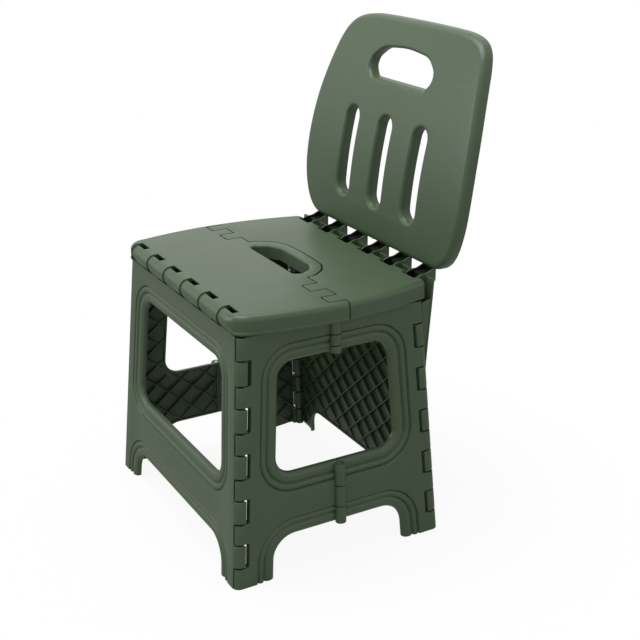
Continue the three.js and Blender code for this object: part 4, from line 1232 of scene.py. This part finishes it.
# The photo's camera: turned about Z by the azimuth, tilted down by the elevation, then rolled.
def addCamera():
    data = bpy.data.cameras.new("camera")
    data.lens = setting["lens"]
    data.sensor_width = setting["sensor"]
    data.clip_end = 60
    azimuth, elevation, roll = (math.radians(setting[key]) for key in ("azimuth", "elevation", "roll"))
    ahead = Vector((-math.sin(azimuth) * math.cos(elevation), math.cos(azimuth) * math.cos(elevation),
                    -math.sin(elevation)))
    right = Vector((math.cos(azimuth), math.sin(azimuth), 0))
    rolled = right * math.cos(roll) + right.cross(ahead) * math.sin(roll)
    turned = Matrix((rolled, rolled.cross(ahead), -ahead)).transposed().to_4x4()
    made = bpy.data.objects.new("camera", data)
    made.matrix_world = Matrix.Translation(setting["camera"]) @ turned
    bpy.context.scene.collection.objects.link(made)
    bpy.context.scene.camera = made


# A rectangular soft lamp that points at the stool.
def addLight(name, place, size, power):
    data = bpy.data.lights.new(name, "AREA")
    data.shape = "RECTANGLE"
    data.size, data.size_y = size
    data.energy = power
    made = bpy.data.objects.new(name, data)
    made.location = place
    made.rotation_euler = (Vector(setting["aim"]) - Vector(place)).to_track_quat("-Z", "Y").to_euler()
    bpy.context.scene.collection.objects.link(made)


# A white floor that keeps the shadow: it glows for the camera alone, and less near the stool.
def addFloor():
    material = bpy.data.materials.new("floor")
    tree = Tree(material)
    ray = tree.node("ShaderNodeLightPath")
    seen, glossy = ray[0], ray[3]
    place = tree.node("ShaderNodeTexCoord")[3]
    reach = tree.node("ShaderNodeVectorMath", {"operation": "LENGTH"}, {0: place})[1]
    start, end = setting["shadowReach"]
    ramp = tree.node("ShaderNodeMapRange", {"interpolation_type": "SMOOTHSTEP"}, {
        "Value": reach, "From Min": start, "From Max": end, "To Min": setting["nearGlow"], "To Max": 1.0})[0]
    diffuse = tree.node("ShaderNodeBsdfDiffuse", {}, {"Color": setting["floor"]})[0]
    glow, dim = (tree.node("ShaderNodeEmission", {}, {"Color": setting["white"], "Strength": strength})[0]
                 for strength in (1.0, setting["reflectedFloor"]))
    lit = tree.node("ShaderNodeMixShader", {}, {0: seen * ramp, 1: diffuse, 2: glow})[0]
    lit = tree.node("ShaderNodeMixShader", {}, {0: glossy, 1: lit, 2: dim})[0]
    tree.node("ShaderNodeOutputMaterial", {}, {"Surface": lit})
    size = setting["floorHalf"]
    mesh = bpy.data.meshes.new("floor")
    mesh.from_pydata([(-size, -size, 0), (size, -size, 0), (size, size, 0), (-size, size, 0)], [], [(0, 1, 2, 3)])
    mesh.materials.append(material)
    made = bpy.data.objects.new("floor", mesh)
    bpy.context.scene.collection.objects.link(made)


# Even light from all round, which the camera and reflections see as white.
def addWorld():
    world = bpy.data.worlds.new("world")
    bpy.context.scene.world = world
    tree = Tree(world)
    ray = tree.node("ShaderNodeLightPath")
    ambient, white = (tree.node("ShaderNodeBackground", {}, {"Color": setting["white"], "Strength": strength})[0]
                      for strength in (setting["ambient"], 1.0))
    mix = tree.node("ShaderNodeMixShader", {}, {0: ray[0] + ray[3], 1: ambient, 2: white})[0]
    tree.node("ShaderNodeOutputWorld", {}, {"Surface": mix})


addCamera()
addFloor()
addWorld()
for name, (place, size, power) in setting["lights"].items():
    addLight(name, place, size, power)
bpy.context.scene.view_settings.view_transform = "Standard"
print("setting made")
